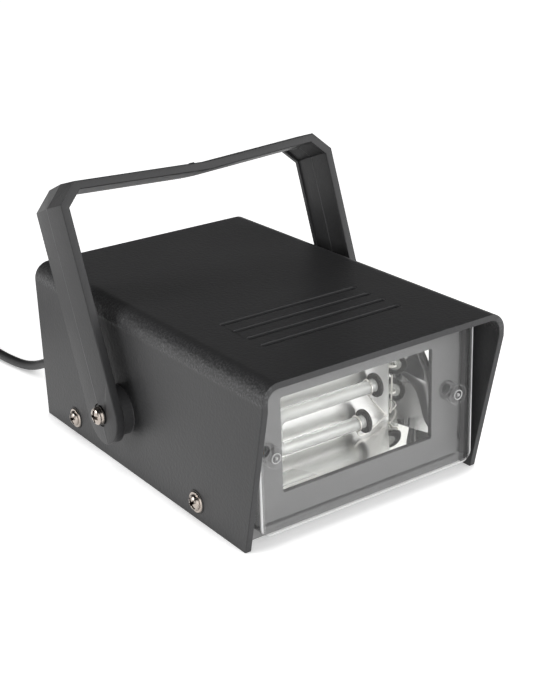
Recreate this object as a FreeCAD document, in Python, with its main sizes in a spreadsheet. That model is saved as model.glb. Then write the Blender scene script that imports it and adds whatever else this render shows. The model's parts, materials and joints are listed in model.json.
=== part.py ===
import FreeCAD, Part
import math
import os
import re
import Sketcher
from FreeCAD import Placement, Rotation, Vector

# Compact xenon stroboscope on a hanging bracket, in millimetres.
# +X is to the lamp's left as it faces forward, -Y is the way the light goes, +Z is up.
# The origin is the middle of the housing's underside.

DOC = FreeCAD.newDocument("Stroboscope")

# Driving dimensions: name, value in millimetres or degrees, what it is.
SIZES = [
    ("cover_width", 125, "top cover across its side walls"),
    ("cover_depth", 191, "top cover from visor edge to rear edge"),
    ("cover_height", 78.6, "top cover above the table"),
    ("cover_wall", 2.9, "top cover wall"),
    ("cover_fit", 0.3, "gap between the tray and the cover"),
    ("edge_radius", 8, "rounding of the cover's long top edges"),
    ("front_rake", 16, "how far the side walls slope back from the visor to the table"),
    ("rake_start", 11, "start of that slope below the cover's top"),
    ("vent_count", 4, "cooling slots"),
    ("vent_length", 72, "slot length across the cover"),
    ("vent_width", 3, "slot width"),
    ("vent_pitch", 10, "slot spacing"),
    ("vent_setback", 34, "visor edge to the middle of the first slot"),
    ("vent_left", 2.5, "slots' middle left of the housing's"),
    ("vent_corner", 1.2, "slot corner radius"),
    ("rib_height", 3, "stiffening ribs under the cover's top"),
    ("rib_wall", 1.6, "stiffening rib thickness"),
    ("boss_radius", 11.5, "pivot boss"),
    ("boss_height", 5.2, "pivot boss, out from the cover's side"),
    ("pivot_back", 17.1, "pivot axis behind the housing's middle"),
    ("pivot_height", 30, "pivot axis above the table"),
    ("pivot_screw", 4, "pivot screw diameter"),
    ("pivot_slack", 0.075, "radial clearance round the pivot screw"),
    ("pivot_head_radius", 4.2, "pivot screw head"),
    ("pivot_head_height", 3.2, "pivot screw head"),
    ("washer_radius", 4.4, "pivot spring washer"),
    ("washer_thick", 0.9, "pivot spring washer"),
    ("washer_gap", 1.1, "split in the spring washer"),
    ("seat_gap", 0.1, "play between the washer and the bracket"),
    ("nut_flats", 7, "pivot nut across flats"),
    ("nut_height", 3.2, "pivot nut"),
    ("screw_reach", 3, "pivot screw past its nut"),
    ("side_screw_front", 43.6, "front side screws ahead of the housing's middle"),
    ("side_screw_rear", 64.3, "rear side screws behind the housing's middle"),
    ("side_screw_height", 8.5, "side screws above the table"),
    ("side_screw_shank", 3, "side screw thread diameter"),
    ("side_screw_length", 8, "side screw under its flange"),
    ("side_flange_radius", 5, "side screw flange"),
    ("side_flange_height", 0.9, "side screw flange"),
    ("side_head_radius", 3.6, "side screw head"),
    ("side_head_height", 2, "side screw head on its flange"),
    ("screw_slack", 0.1, "radial clearance of the small screws"),
    ("recess_width", 1, "cross recess in the screw heads"),
    ("recess_deep", 1.2, "cross recess in the screw heads"),
    ("bracket_gap", 0.3, "gap between the pivot boss and the bracket"),
    ("bracket_reach", 103.2, "pivot axis to the outside of the bracket's bar"),
    ("bracket_chamfer", 9.5, "cut corner between the bracket's arm and bar"),
    ("bracket_lean", 20.3, "bracket leaning back from upright"),
    ("arm_splay", 0.8, "bracket arms further apart at the bar than at the pivot, each"),
    ("bar_sag", 3, "bar lower at its nib than at its ends"),
    ("nib_right", 2.8, "nib and lowest point of the bar right of the middle"),
    ("strap_width", 27.4, "bracket strap"),
    ("strap_thick", 5.4, "bracket strap at its middle"),
    ("strap_draft", 3, "slope of the strap's faces from its middle"),
    ("strap_recess", 1.4, "hollow of the arms' inner faces"),
    ("strap_rim", 2.4, "rim beside the hollow"),
    ("recess_start", 15, "pivot axis to the start of the hollow"),
    ("strap_edge", 0.5, "rounding of the strap's edges"),
    ("seat_radius", 5.4, "flat round the pivot hole on the strap"),
    ("nib_radius", 1.4, "moulding nib on the bar"),
    ("nib_height", 0.8, "moulding nib on the bar"),
    ("tray_wall", 2.5, "base tray wall"),
    ("rear_inset", 1, "rear panel inside the cover's rear edge"),
    ("bezel_setback", 4, "window frame behind the cover's lower front corner"),
    ("lip_height", 15, "tray side lips above the table"),
    ("lip_wall", 2, "tray side lips"),
    ("block_reach", 6, "side screw blocks in from the lips"),
    ("block_width", 10, "side screw blocks along the lip"),
    ("toe_rise", 2.2, "tray's front lower edge above the table"),
    ("toe_run", 6.5, "tray's underside rising to its front edge"),
    ("window_margin", 16.7, "front plate's edge to the window"),
    ("window_height", 42.5, "window in the tray's front"),
    ("window_low", 18.5, "window's lower edge above the table"),
    ("window_corner", 1, "window corner radius"),
    ("lens_side_gap", 2.6, "front plate inside the tray's sides"),
    ("lens_low", 5.8, "front plate's lower edge above the table"),
    ("lens_top_gap", 0.8, "front plate below the cover's top"),
    ("lens_depth", 7.6, "front plate with its rim"),
    ("lens_wall", 2, "front plate wall"),
    ("lens_rim", 1.6, "front plate rim"),
    ("lens_corner", 5, "front plate corner radius"),
    ("lens_edge", 0.6, "rounding of the front plate's edge"),
    ("peg_inset", 8.4, "front plate pegs in from its edges"),
    ("peg_height", 39.7, "front plate pegs above the table"),
    ("peg_radius", 2.4, "front plate pegs"),
    ("collar_radius", 4.4, "collar round each peg"),
    ("dimple_radius", 1.2, "dimple in front of each peg"),
    ("dimple_deep", 5, "dimple in front of each peg"),
    ("peg_slack", 0.05, "radial clearance of the pegs"),
    ("peg_reach", 1.5, "pegs past the window frame"),
    ("mirror_depth", 19, "reflector, mouth to back wall"),
    ("mirror_taper", 13.6, "reflector's mouth wider than its back wall"),
    ("mirror_slope", 6.2, "reflector's mouth taller than its back wall"),
    ("mirror_sheet", 0.6, "reflector sheet"),
    ("mirror_flange", 3, "reflector flange round its mouth"),
    ("tube_radius", 3, "flash tube glass outside"),
    ("tube_bore", 2, "flash tube glass inside radius"),
    ("tube_forward", 5.7, "flash tube legs ahead of the back wall"),
    ("tube_upper", 44.1, "upper leg above the table"),
    ("tube_lower", 28.7, "lower leg above the table"),
    ("tube_end_gap", 1, "flash tube's left end inside the back wall's edge"),
    ("tube_bend", 4.5, "corners of the flash tube's left end"),
    ("tube_upper_end", 21.9, "upper leg's end right of the middle"),
    ("tube_lower_end", 15.6, "lower leg's end right of the middle"),
    ("tube_seal", 2, "closed glass at each end of the tube"),
    ("electrode_radius", 0.6, "electrode pin and lead"),
    ("electrode_inside", 6, "electrode pin inside the glass"),
    ("electrode_outside", 3.4, "electrode pin past the glass to its bend"),
    ("electrode_back", 42, "electrode leads down to the board, ahead of the middle"),
    ("lead_hole", 1.5, "holes for the leads in the reflector's back wall"),
    ("ring_radius", 5.4, "rubber ring on each end of the tube"),
    ("ring_thick", 1.6, "rubber ring"),
    ("ring_edge", 0.4, "rubber ring's bevelled edges"),
    ("small_fit", 0.05, "radial clearance of pressed small parts"),
    ("trigger_wire_radius", 0.35, "trigger wire"),
    ("trigger_turn", 3.3, "trigger wire's turns left of the rubber rings"),
    ("trigger_right", 9.2, "trigger wire's joint right of the upper leg's end"),
    ("trigger_height", 24.9, "trigger wire's joint above the table"),
    ("trigger_dip", 1, "trigger wire under the lower ring"),
    ("board_side_gap", 3.3, "circuit board inside the side screw blocks"),
    ("board_front", 44, "circuit board's front edge ahead of the middle"),
    ("board_rear", 62, "circuit board's rear edge behind the middle"),
    ("board_thick", 1.6, "circuit board"),
    ("post_height", 7, "board posts above the tray floor"),
    ("post_radius", 3.5, "board posts"),
    ("post_inset", 6, "board posts in from the board's edges"),
    ("board_screw", 2.9, "board screw thread diameter"),
    ("board_screw_length", 6, "board screw under its head"),
    ("board_head_radius", 2.8, "board screw head"),
    ("board_head_height", 1.8, "board screw head"),
    ("store_radius", 11, "storage capacitor"),
    ("store_height", 36, "storage capacitor"),
    ("store_pitch", 27, "storage capacitor spacing"),
    ("store_bead", 0.7, "storage capacitor bead and edges"),
    ("store_left", 30, "storage capacitors left of the middle"),
    ("store_front", 12, "first storage capacitor ahead of the middle"),
    ("film_width", 18, "film capacitor"),
    ("film_depth", 7, "film capacitor"),
    ("film_height", 13, "film capacitor"),
    ("film_left", 12, "film capacitor left of the middle"),
    ("film_front", 36, "film capacitor ahead of the middle"),
    ("film_edge", 1, "film capacitor corner radius"),
    ("trigger_core", 4.8, "trigger transformer winding"),
    ("trigger_flange", 6.2, "trigger transformer bobbin"),
    ("trigger_cheek", 1.4, "trigger transformer bobbin cheeks"),
    ("trigger_tall", 11.5, "trigger transformer"),
    ("trigger_rear", 24, "trigger transformer ahead of the middle"),
    ("ballast_width", 10, "ballast resistor"),
    ("ballast_length", 46, "ballast resistor"),
    ("ballast_lift", 3, "ballast resistor above the board"),
    ("ballast_right", 2, "ballast resistor right of the middle"),
    ("ballast_front", 10, "ballast resistor ahead of the middle"),
    ("lead_radius", 0.5, "component leads"),
    ("diode_radius", 2.6, "rectifier diode"),
    ("diode_length", 9, "rectifier diode"),
    ("diode_span", 16, "rectifier diode between its leads"),
    ("diode_pitch", 9, "rectifier diode spacing"),
    ("diode_right", 38, "rectifier diodes right of the middle"),
    ("diode_front", 14, "first rectifier diode ahead of the middle"),
    ("fuse_radius", 2.5, "fuse glass"),
    ("fuse_cap", 2.75, "fuse cap radius"),
    ("fuse_length", 20, "fuse"),
    ("fuse_cap_length", 5.5, "fuse caps"),
    ("fuse_right", 12, "fuse right of the middle"),
    ("fuse_rear", 50, "fuse behind the middle"),
    ("fuse_lift", 4.5, "fuse above the board"),
    ("clip_wall", 0.5, "fuse clip"),
    ("clip_length", 4.5, "fuse clip"),
    ("block_long", 12, "mains terminal"),
    ("block_deep", 9, "mains terminal"),
    ("block_tall", 10, "mains terminal"),
    ("block_left", 24, "mains terminal left of the middle"),
    ("block_rear", 50, "mains terminal behind the middle"),
    ("block_hole", 1.4, "mains terminal holes"),
    ("wire_radius", 0.9, "insulated inner leads"),
    ("wire_spacing", 5, "terminal holes"),
    ("dial_right", 28, "speed control right of the middle"),
    ("dial_height", 38, "speed control above the table"),
    ("shaft_radius", 3, "speed control shaft"),
    ("shaft_slack", 0.05, "shaft running clearance"),
    ("bush_radius", 3.9, "speed control's threaded bush"),
    ("pot_radius", 8.5, "speed control body"),
    ("pot_depth", 8, "speed control body"),
    ("pot_nut_height", 2, "speed control nut"),
    ("pot_nut_flats", 10, "speed control nut across flats"),
    ("bush_reach", 4.5, "threaded bush past the panel"),
    ("pot_washer_radius", 6.2, "speed control washer"),
    ("pot_washer_thick", 0.6, "speed control washer"),
    ("pot_lug", 1.4, "speed control lug width"),
    ("pot_lug_thick", 0.5, "speed control lug"),
    ("pot_lug_length", 6, "speed control lug below the body"),
    ("pot_lug_pitch", 5, "speed control lug spacing"),
    ("knob_radius", 9, "speed knob"),
    ("knob_top_radius", 8.2, "speed knob at its face"),
    ("knob_edge", 0.6, "speed knob face edge"),
    ("knob_hollow", 6.8, "hollow under the knob for the nut"),
    ("knob_hollow_deep", 5, "hollow under the knob for the nut"),
    ("knob_cap", 1.8, "knob face over the shaft"),
    ("pointer_width", 1, "pointer groove on the knob"),
    ("pointer_deep", 0.4, "pointer groove on the knob"),
    ("knob_length", 11.5, "speed knob"),
    ("knob_gap", 0.5, "gap between the knob and the panel"),
    ("knob_flutes", 18, "grip grooves round the knob"),
    ("flute_radius", 1, "grip groove"),
    ("cord_inset", 15.3, "cord exit in from the tray's side"),
    ("cord_height", 13, "cord exit above the table"),
    ("cord_diameter", 5, "mains cord"),
    ("relief_length", 20, "strain relief behind the rear panel"),
    ("relief_root", 4.4, "strain relief radius at the panel"),
    ("relief_tip", 3.1, "strain relief radius at its tip"),
    ("relief_flange", 6, "strain relief flange radius"),
    ("relief_flange_thick", 2, "strain relief flange"),
    ("relief_catch", 2, "strain relief collar inside the panel"),
    ("relief_slack", 0.1, "radial clearance of the relief in the panel"),
    ("relief_grooves", 5, "flex grooves round the strain relief"),
    ("groove_pitch", 3.2, "flex groove spacing"),
    ("groove_width", 1.3, "flex groove"),
    ("groove_deep", 0.6, "flex groove"),
    ("coil_left", 72, "coiled cord left of the middle"),
    ("coil_back", 262, "coiled cord behind the middle"),
    ("coil_edge", 2, "coiled cord's bevelled edges"),
    ("coil_radius", 29, "mean radius of the coiled cord"),
    ("coil_width", 17, "coiled cord, inside to outside"),
    ("coil_height", 14, "coiled cord"),
    ("tie_width", 5, "cord tie"),
    ("tie_thick", 1, "cord tie"),
    ("plug_back", 229, "mains plug's cord end behind the middle"),
    ("plug_shoulder", 15, "mains plug's cord end to its full width"),
    ("plug_edge", 2, "mains plug edges"),
    ("plug_length", 36, "mains plug body"),
    ("plug_width", 26, "mains plug body at its pins"),
    ("plug_neck", 12, "mains plug body at the cord"),
    ("plug_thick", 13, "mains plug body"),
    ("pin_spacing", 18.6, "mains plug pins"),
    ("pin_radius", 2, "mains plug pins"),
    ("pin_length", 19, "mains plug pins"),
]

# Sizes worked out from the driving ones, each under a name of its own.
DERIVED = [
    ("half_width", "cover_width / 2"),
    ("half_depth", "cover_depth / 2"),
    ("inner_half", "half_width - cover_wall"),
    ("cover_inside", "cover_height - cover_wall"),
    ("tray_half", "inner_half - cover_fit"),
    ("cord_left", "tray_half - cord_inset"),
    ("board_width", "2 * (tray_half - lip_wall - block_reach - board_side_gap)"),
    ("lens_width", "2 * (tray_half - lens_side_gap)"),
    ("window_width", "lens_width - 2 * window_margin"),
    ("peg_side", "lens_width / 2 - peg_inset"),
    ("mirror_back_width", "window_width - mirror_taper"),
    ("mirror_back_height", "window_height - mirror_slope"),
    ("tray_top", "cover_inside - cover_fit"),
    ("rear_face", "half_depth - rear_inset"),
    ("rear_inside", "rear_face - tray_wall"),
    ("bezel_face", "half_depth - front_rake - bezel_setback"),
    ("bezel_inside", "bezel_face - tray_wall"),
    ("lens_front", "bezel_face + lens_depth"),
    ("lens_top", "cover_inside - lens_top_gap"),
    ("window_middle", "window_low + window_height / 2"),
    ("mirror_back", "bezel_inside - mirror_depth"),
    ("tube_line", "mirror_back + tube_forward"),
    ("tube_left", "mirror_back_width / 2 - tube_end_gap"),
    ("board_base", "tray_wall + post_height"),
    ("board_top", "board_base + board_thick"),
    ("post_side", "board_width / 2 - post_inset"),
    ("post_front", "board_front - post_inset"),
    ("post_rear", "board_rear - post_inset"),
    ("boss_face", "half_width + boss_height"),
    ("bracket_inside", "boss_face + bracket_gap"),
    ("bracket_half", "bracket_inside + strap_thick"),
    ("strap_half", "strap_width / 2"),
    ("seat_depth", "strap_half * tan(strap_draft)"),
    ("seat_face", "bracket_half - seat_depth"),
    ("washer_face", "seat_face + seat_gap"),
    ("head_face", "washer_face + washer_thick"),
    ("pivot_hole", "pivot_screw / 2 + pivot_slack"),
    ("pivot_tip", "inner_half - nut_height - screw_reach"),
    ("knob_back", "rear_face + knob_gap"),
    ("coil_outer_turn", "coil_radius + coil_width / 2 - cord_diameter / 2"),
    ("tail_left", "coil_left + coil_outer_turn"),
    ("trigger_post", "tube_upper_end + trigger_right"),
]

SHEET = DOC.addObject("Spreadsheet::Sheet", "Sizes")
FITS = DOC.addObject("App::VarSet", "Fits")
PIECES = []
EPS = 0.01


def formula(text):
    """A formula on plain size names, with the object that holds each of them put before it."""
    homes = {name: "Sizes." for name, _, _ in SIZES}
    homes.update({name: "Fits." for name, _ in DERIVED})
    return re.sub(r"[a-z_]+", lambda word: homes.get(word.group(0), "") + word.group(0), text)


def fill_sheet():
    """Write the driving dimensions into the sheet and bind the derived ones to them."""
    for row, (name, value, note) in enumerate(SIZES, 1):
        SHEET.set("A%d" % row, note)
        SHEET.set("B%d" % row, str(value))
        SHEET.setAlias("B%d" % row, name)
    DOC.recompute()
    for name, text in DERIVED:
        FITS.addProperty("App::PropertyFloat", name)
        FITS.setExpression(name, formula(text))
    DOC.recompute()


def size(name):
    """A size as a number."""
    return float(getattr(SHEET if name in {row[0] for row in SIZES} else FITS, name))


def axis_of(edge):
    """The axis that a straight edge runs along, or nothing."""
    if edge.Curve.TypeId != "Part::GeomLine":
        return ""
    run = edge.Vertexes[-1].Point - edge.Vertexes[0].Point
    parts = [abs(run.x), abs(run.y), abs(run.z)]
    return "xyz"[parts.index(max(parts))] if sum(parts) - max(parts) < EPS else ""


def middle(edge):
    return edge.valueAt((edge.FirstParameter + edge.LastParameter) / 2)


def near(value, *targets):
    """Whether a value, without its sign, is one of the targets."""
    return any(abs(abs(value) - target) < EPS for target in targets)


def body(label):
    made = DOC.addObject("PartDesign::Body", label + "_body")
    made.Label = label
    return made


def keep(piece, label=None):
    """Hand a finished piece over to be written as a node."""
    if label:
        piece.Label = label
    PIECES.append(piece)
    return piece


def sketch(owner, role, height="0"):
    made = owner.newObject("Sketcher::SketchObject", "Sketch")
    planes = [item for item in owner.Origin.OriginFeatures if item.Role == role]
    made.AttachmentSupport = [(planes[0], "")]
    made.MapMode = "FlatFace"
    made.setExpression(".AttachmentOffset.Base.z", formula(height))
    return made


def fix(drawing, kind, text, *where):
    """Set one dimension of a sketch by a formula."""
    index = drawing.addConstraint(Sketcher.Constraint(kind, *where, 1.0))
    drawing.setExpression("Constraints[%d]" % index, formula(text))


def pin_point(drawing, element, end, across, up):
    fix(drawing, "DistanceX", across, -1, 1, element, end)
    fix(drawing, "DistanceY", up, -1, 1, element, end)


def outline(drawing, corners):
    """A closed polygon through corners given as formulas."""
    first = drawing.GeometryCount
    count = len(corners)
    turn = 2 * math.pi / count
    spots = [Vector(math.cos(k * turn), math.sin(k * turn), 0) for k in range(count)]
    for k in range(count):
        drawing.addGeometry(Part.LineSegment(spots[k], spots[(k + 1) % count]), False)
    for k in range(count):
        drawing.addConstraint(Sketcher.Constraint("Coincident", first + k, 2, first + (k + 1) % count, 1))
    for k, (across, up) in enumerate(corners):
        pin_point(drawing, first + k, 1, across, up)


def rectangle(drawing, left, right, low, high):
    outline(drawing, [(left, low), (right, low), (right, high), (left, high)])


def circle(drawing, across, up, radius):
    index = drawing.addGeometry(Part.Circle(Vector(1, 1, 0), Vector(0, 0, 1), 1), False)
    pin_point(drawing, index, 3, across, up)
    fix(drawing, "Radius", radius, index)


def extrude(kind, profile, length, symmetric=False, reverse=False):
    """A pad or a pocket of a sketch, as long as a formula says."""
    owner = profile.getParentGeoFeatureGroup()
    made = owner.newObject("PartDesign::" + kind, kind)
    made.Profile = profile
    made.SideType = "Symmetric" if symmetric else "One side"
    made.Reversed = reverse
    made.setExpression("Length", formula(length))
    return made


def pad(profile, length, **how):
    return extrude("Pad", profile, length, **how)


def pocket(profile, length, **how):
    return extrude("Pocket", profile, length, **how)


def soften(owner, kind, test, amount):
    """Fillet or chamfer the edges of a body's last feature that pass a test."""
    DOC.recompute()
    base = owner.Tip
    names = ["Edge%d" % (k + 1) for k, edge in enumerate(base.Shape.Edges) if test(edge)]
    made = owner.newObject("PartDesign::" + kind, kind)
    made.Base = (base, names)
    made.setExpression("Radius" if kind == "Fillet" else "Size", formula(amount))
    return made


def place(piece, spot, facing=None):
    """Put a piece at a point given as three formulas, its own +Z turned to face a way."""
    if facing:
        piece.Placement = Placement(Vector(), Rotation(Vector(0, 0, 1), Vector(*facing)))
    for axis, text in zip("xyz", spot):
        piece.setExpression(".Placement.Base." + axis, formula(text))
    return piece


def turned(label, profile):
    """A body turned about its own +Z from a profile of radius and height formulas."""
    made = body(label)
    drawing = sketch(made, "XZ_Plane")
    outline(drawing, profile)
    spin = made.newObject("PartDesign::Revolution", "Turn")
    spin.Profile = drawing
    spin.ReferenceAxis = (drawing, ["V_Axis"])
    spin.Angle = 360
    return made


def block(label, width, depth, height, spot):
    """A plain box whose low corner is at a point given as formulas."""
    made = DOC.addObject("Part::Box", label)
    for key, text in (("Length", width), ("Width", depth), ("Height", height)):
        made.setExpression(key, formula(text))
    return place(made, spot)


def rod(label, radius, height, spot, facing=None):
    made = DOC.addObject("Part::Cylinder", label)
    made.setExpression("Radius", formula(radius))
    made.setExpression("Height", formula(height))
    return place(made, spot, facing)


def cut(label, base, tool):
    made = DOC.addObject("Part::Cut", label)
    made.Base, made.Tool = base, tool
    return made


def fused(label, parts):
    made = DOC.addObject("Part::MultiFuse", label)
    made.Shapes = parts
    return made


def group(label, parts):
    """Separate solids kept as one node."""
    made = DOC.addObject("Part::Compound", label)
    made.Links = parts
    return keep(made, label)


def copies(label, source, places):
    """The same piece at several places, each a point and the way it faces, kept as one node."""
    links = []
    for spot, facing in places:
        link = DOC.addObject("App::Link", label + "_copy")
        link.LinkedObject = source
        links.append(place(link, spot, facing))
    return group(label, links)


def shape_piece(label, shape):
    """A piece whose shape is worked out here from the sheet's sizes."""
    made = DOC.addObject("Part::Feature", label)
    made.Shape = shape
    made.Label = label
    return made


def bent_path(points, radii):
    """Straight runs joined by tangent arcs, with one radius for each point between the ends."""
    edges = []
    start = points[0]
    for before, corner, after, radius in zip(points, points[1:], points[2:], radii):
        way_in = (corner - before).normalize()
        way_out = (after - corner).normalize()
        turn = way_in.getAngle(way_out)
        setback = radius * math.tan(turn / 2)
        arc_start = corner - way_in * setback
        arc_end = corner + way_out * setback
        inward = (way_out - way_in).normalize()
        arc_middle = corner + inward * (radius / math.cos(turn / 2) - radius)
        if (arc_start - start).Length > EPS:
            edges.append(Part.LineSegment(start, arc_start).toShape())
        edges.append(Part.Arc(arc_start, arc_middle, arc_end).toShape())
        start = arc_end
    if (points[-1] - start).Length > EPS:
        edges.append(Part.LineSegment(start, points[-1]).toShape())
    return Part.Wire(edges)


def pipe(points, radii, radius):
    """A round bar along a bent path."""
    path = bent_path(points, radii)
    ring = Part.Wire(Part.Circle(points[0], points[1] - points[0], radius).toShape())
    return path.makePipeShell([ring], True, False)


def make_top_cover():
    cover = body("top_cover")
    side = sketch(cover, "YZ_Plane")
    outline(side, [
        ("-half_depth", "cover_height"),
        ("-half_depth", "cover_height - rake_start"),
        ("front_rake - half_depth", "0"),
        ("half_depth", "0"),
        ("half_depth", "cover_height"),
    ])
    pad(side, "cover_width", symmetric=True)
    boss = sketch(cover, "YZ_Plane")
    circle(boss, "pivot_back", "pivot_height", "boss_radius")
    pad(boss, "2 * boss_face", symmetric=True)
    hollow = sketch(cover, "XZ_Plane")
    rectangle(hollow, "-inner_half", "inner_half", "-cover_wall", "cover_inside")
    pocket(hollow, "cover_depth + 2 * cover_wall", symmetric=True)
    tall, wide = size("cover_height"), size("half_width")
    inside, inner = size("cover_inside"), size("inner_half")
    soften(cover, "Fillet", lambda e: axis_of(e) == "y" and near(middle(e).z, inside)
           and near(middle(e).x, inner), "edge_radius - cover_wall")
    soften(cover, "Fillet", lambda e: axis_of(e) == "y" and near(middle(e).z, tall)
           and near(middle(e).x, wide), "edge_radius")
    ribs = sketch(cover, "XY_Plane", "cover_inside - rib_height")
    for sign in ("-", ""):
        place_rib = sign + "(vent_length / 2 + edge_radius)"
        rectangle(ribs, place_rib + " - rib_wall / 2", place_rib + " + rib_wall / 2",
                  "lens_depth - bezel_inside", "rear_inside - cover_wall")
    pad(ribs, "rib_height + cover_wall / 2")
    slot = sketch(cover, "XY_Plane", "cover_height")
    rectangle(slot, "-vent_left - vent_length / 2", "vent_length / 2 - vent_left",
              "vent_setback - half_depth - vent_width / 2", "vent_setback - half_depth + vent_width / 2")
    first = pocket(slot, "4 * cover_wall", symmetric=True)
    row = cover.newObject("PartDesign::LinearPattern", "Row")
    row.Originals = [first]
    row.Direction = (slot, ["V_Axis"])
    row.setExpression("Length", formula("vent_pitch * (vent_count - 1)"))
    row.setExpression("Occurrences", formula("vent_count"))
    cover.Tip = row
    end, left = size("vent_length") / 2, size("vent_left")
    soften(cover, "Fillet", lambda e: axis_of(e) == "z" and near(middle(e).x + left, end)
           and near(middle(e).z, tall - size("cover_wall") / 2), "vent_corner")
    holes = sketch(cover, "YZ_Plane")
    circle(holes, "-side_screw_front", "side_screw_height", "side_screw_shank / 2 + screw_slack")
    circle(holes, "side_screw_rear", "side_screw_height", "side_screw_shank / 2 + screw_slack")
    circle(holes, "pivot_back", "pivot_height", "pivot_hole")
    pocket(holes, "2 * boss_face + cover_wall", symmetric=True)
    return keep(cover)


def make_base_tray():
    tray = body("base_tray")
    side = sketch(tray, "YZ_Plane")
    outline(side, [
        ("-bezel_face", "toe_rise"),
        ("toe_run - bezel_face", "0"),
        ("rear_face", "0"),
        ("rear_face", "tray_top"),
        ("rear_inside", "tray_top"),
        ("rear_inside", "tray_wall"),
        ("-bezel_inside", "tray_wall"),
        ("-bezel_inside", "tray_top"),
        ("-bezel_face", "tray_top"),
    ])
    pad(side, "2 * tray_half", symmetric=True)
    top, half = size("tray_top"), size("tray_half")
    soften(tray, "Fillet", lambda e: axis_of(e) == "y" and near(middle(e).z, top)
           and near(middle(e).x, half), "edge_radius - cover_wall - cover_fit")
    lips = sketch(tray, "XY_Plane", "tray_wall")
    for sign in ("-", ""):
        rectangle(lips, sign + "tray_half", sign + "(tray_half - lip_wall)", "-bezel_inside", "rear_inside")
    pad(lips, "lip_height - tray_wall")
    blocks = sketch(tray, "XY_Plane", "tray_wall")
    for sign in ("-", ""):
        outside, inside = sign + "(tray_half - lip_wall / 2)", sign + "(tray_half - lip_wall - block_reach)"
        for spot in ("-side_screw_front", "side_screw_rear"):
            rectangle(blocks, outside, inside, spot + " - block_width / 2", spot + " + block_width / 2")
    pad(blocks, "lip_height - tray_wall")
    posts = sketch(tray, "XY_Plane", "tray_wall")
    pilots = sketch(tray, "XY_Plane", "board_base")
    for across in ("-post_side", "post_side"):
        for along in ("-post_front", "post_rear"):
            circle(posts, across, along, "post_radius")
            circle(pilots, across, along, "board_screw / 2 + small_fit")
    pad(posts, "post_height")
    pocket(pilots, "post_height - tray_wall / 2")
    threads = sketch(tray, "YZ_Plane")
    circle(threads, "-side_screw_front", "side_screw_height", "side_screw_shank / 2 + small_fit")
    circle(threads, "side_screw_rear", "side_screw_height", "side_screw_shank / 2 + small_fit")
    pocket(threads, "cover_width", symmetric=True)
    front = sketch(tray, "XZ_Plane", "bezel_face")
    rectangle(front, "-window_width / 2", "window_width / 2", "window_low", "window_low + window_height")
    for sign in ("-", ""):
        circle(front, sign + "peg_side", "peg_height", "peg_radius + peg_slack")
    pocket(front, "4 * tray_wall", symmetric=True)
    window = size("window_width") / 2
    soften(tray, "Fillet", lambda e: axis_of(e) == "y" and near(middle(e).x, window), "window_corner")
    rear = sketch(tray, "XZ_Plane", "-rear_face")
    circle(rear, "dial_right", "dial_height", "bush_radius + small_fit")
    circle(rear, "-cord_left", "cord_height", "relief_root + relief_slack")
    pocket(rear, "4 * tray_wall", symmetric=True)
    return keep(tray)


def make_lens_plate():
    lens = body("lens_plate")
    plate = sketch(lens, "XZ_Plane", "bezel_face")
    rectangle(plate, "-lens_width / 2", "lens_width / 2", "lens_low", "lens_top")
    pad(plate, "lens_depth")
    hollow = sketch(lens, "XZ_Plane", "bezel_face")
    rectangle(hollow, "lens_rim - lens_width / 2", "lens_width / 2 - lens_rim",
              "lens_low + lens_rim", "lens_top - lens_rim")
    pocket(hollow, "lens_depth - lens_wall", reverse=True)
    side, front = size("lens_width") / 2, size("lens_front")
    inner = side - size("lens_rim")
    soften(lens, "Fillet", lambda e: axis_of(e) == "y" and near(middle(e).x, inner), "lens_corner - lens_rim")
    soften(lens, "Fillet", lambda e: axis_of(e) == "y" and near(middle(e).x, side), "lens_corner")
    soften(lens, "Fillet", lambda e: near(middle(e).y, front), "lens_edge")
    collars = sketch(lens, "XZ_Plane", "bezel_face")
    pegs = sketch(lens, "XZ_Plane", "bezel_inside - peg_reach")
    dimples = sketch(lens, "XZ_Plane", "lens_front")
    for sign in ("-", ""):
        circle(collars, sign + "peg_side", "peg_height", "collar_radius")
        circle(pegs, sign + "peg_side", "peg_height", "peg_radius")
        circle(dimples, sign + "peg_side", "peg_height", "dimple_radius")
    pad(collars, "lens_depth - lens_wall / 2")
    pad(pegs, "lens_depth - lens_wall / 2 + tray_wall + peg_reach")
    pocket(dimples, "dimple_deep")
    return keep(lens)


def make_reflector():
    mirror = body("reflector")
    flange = sketch(mirror, "XZ_Plane", "bezel_inside - mirror_sheet")
    rectangle(flange, "-window_width / 2 - mirror_flange", "window_width / 2 + mirror_flange",
              "window_low - mirror_flange", "window_low + window_height + mirror_flange")
    pad(flange, "mirror_sheet")

    def trough(kind, grow, back):
        mouth = sketch(mirror, "XZ_Plane", "bezel_inside")
        rectangle(mouth, "-window_width / 2 - " + grow, "window_width / 2 + " + grow,
                  "window_low - " + grow, "window_low + window_height + " + grow)
        base = sketch(mirror, "XZ_Plane", back)
        rectangle(base, "-mirror_back_width / 2 - " + grow, "mirror_back_width / 2 + " + grow,
                  "window_middle - mirror_back_height / 2 - " + grow,
                  "window_middle + mirror_back_height / 2 + " + grow)
        made = mirror.newObject("PartDesign::" + kind, kind)
        made.Profile = mouth
        made.Sections = [base]

    trough("AdditiveLoft", "mirror_sheet", "mirror_back - mirror_sheet")
    trough("SubtractiveLoft", "0", "mirror_back")
    holes = sketch(mirror, "XZ_Plane", "mirror_back")
    circle(holes, "tube_upper_end + electrode_outside", "tube_upper", "lead_hole")
    circle(holes, "tube_lower_end + electrode_outside", "tube_lower", "lead_hole")
    circle(holes, "trigger_post", "trigger_height", "3 * trigger_wire_radius")
    pocket(holes, "4 * mirror_sheet", symmetric=True)
    return keep(mirror)


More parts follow.
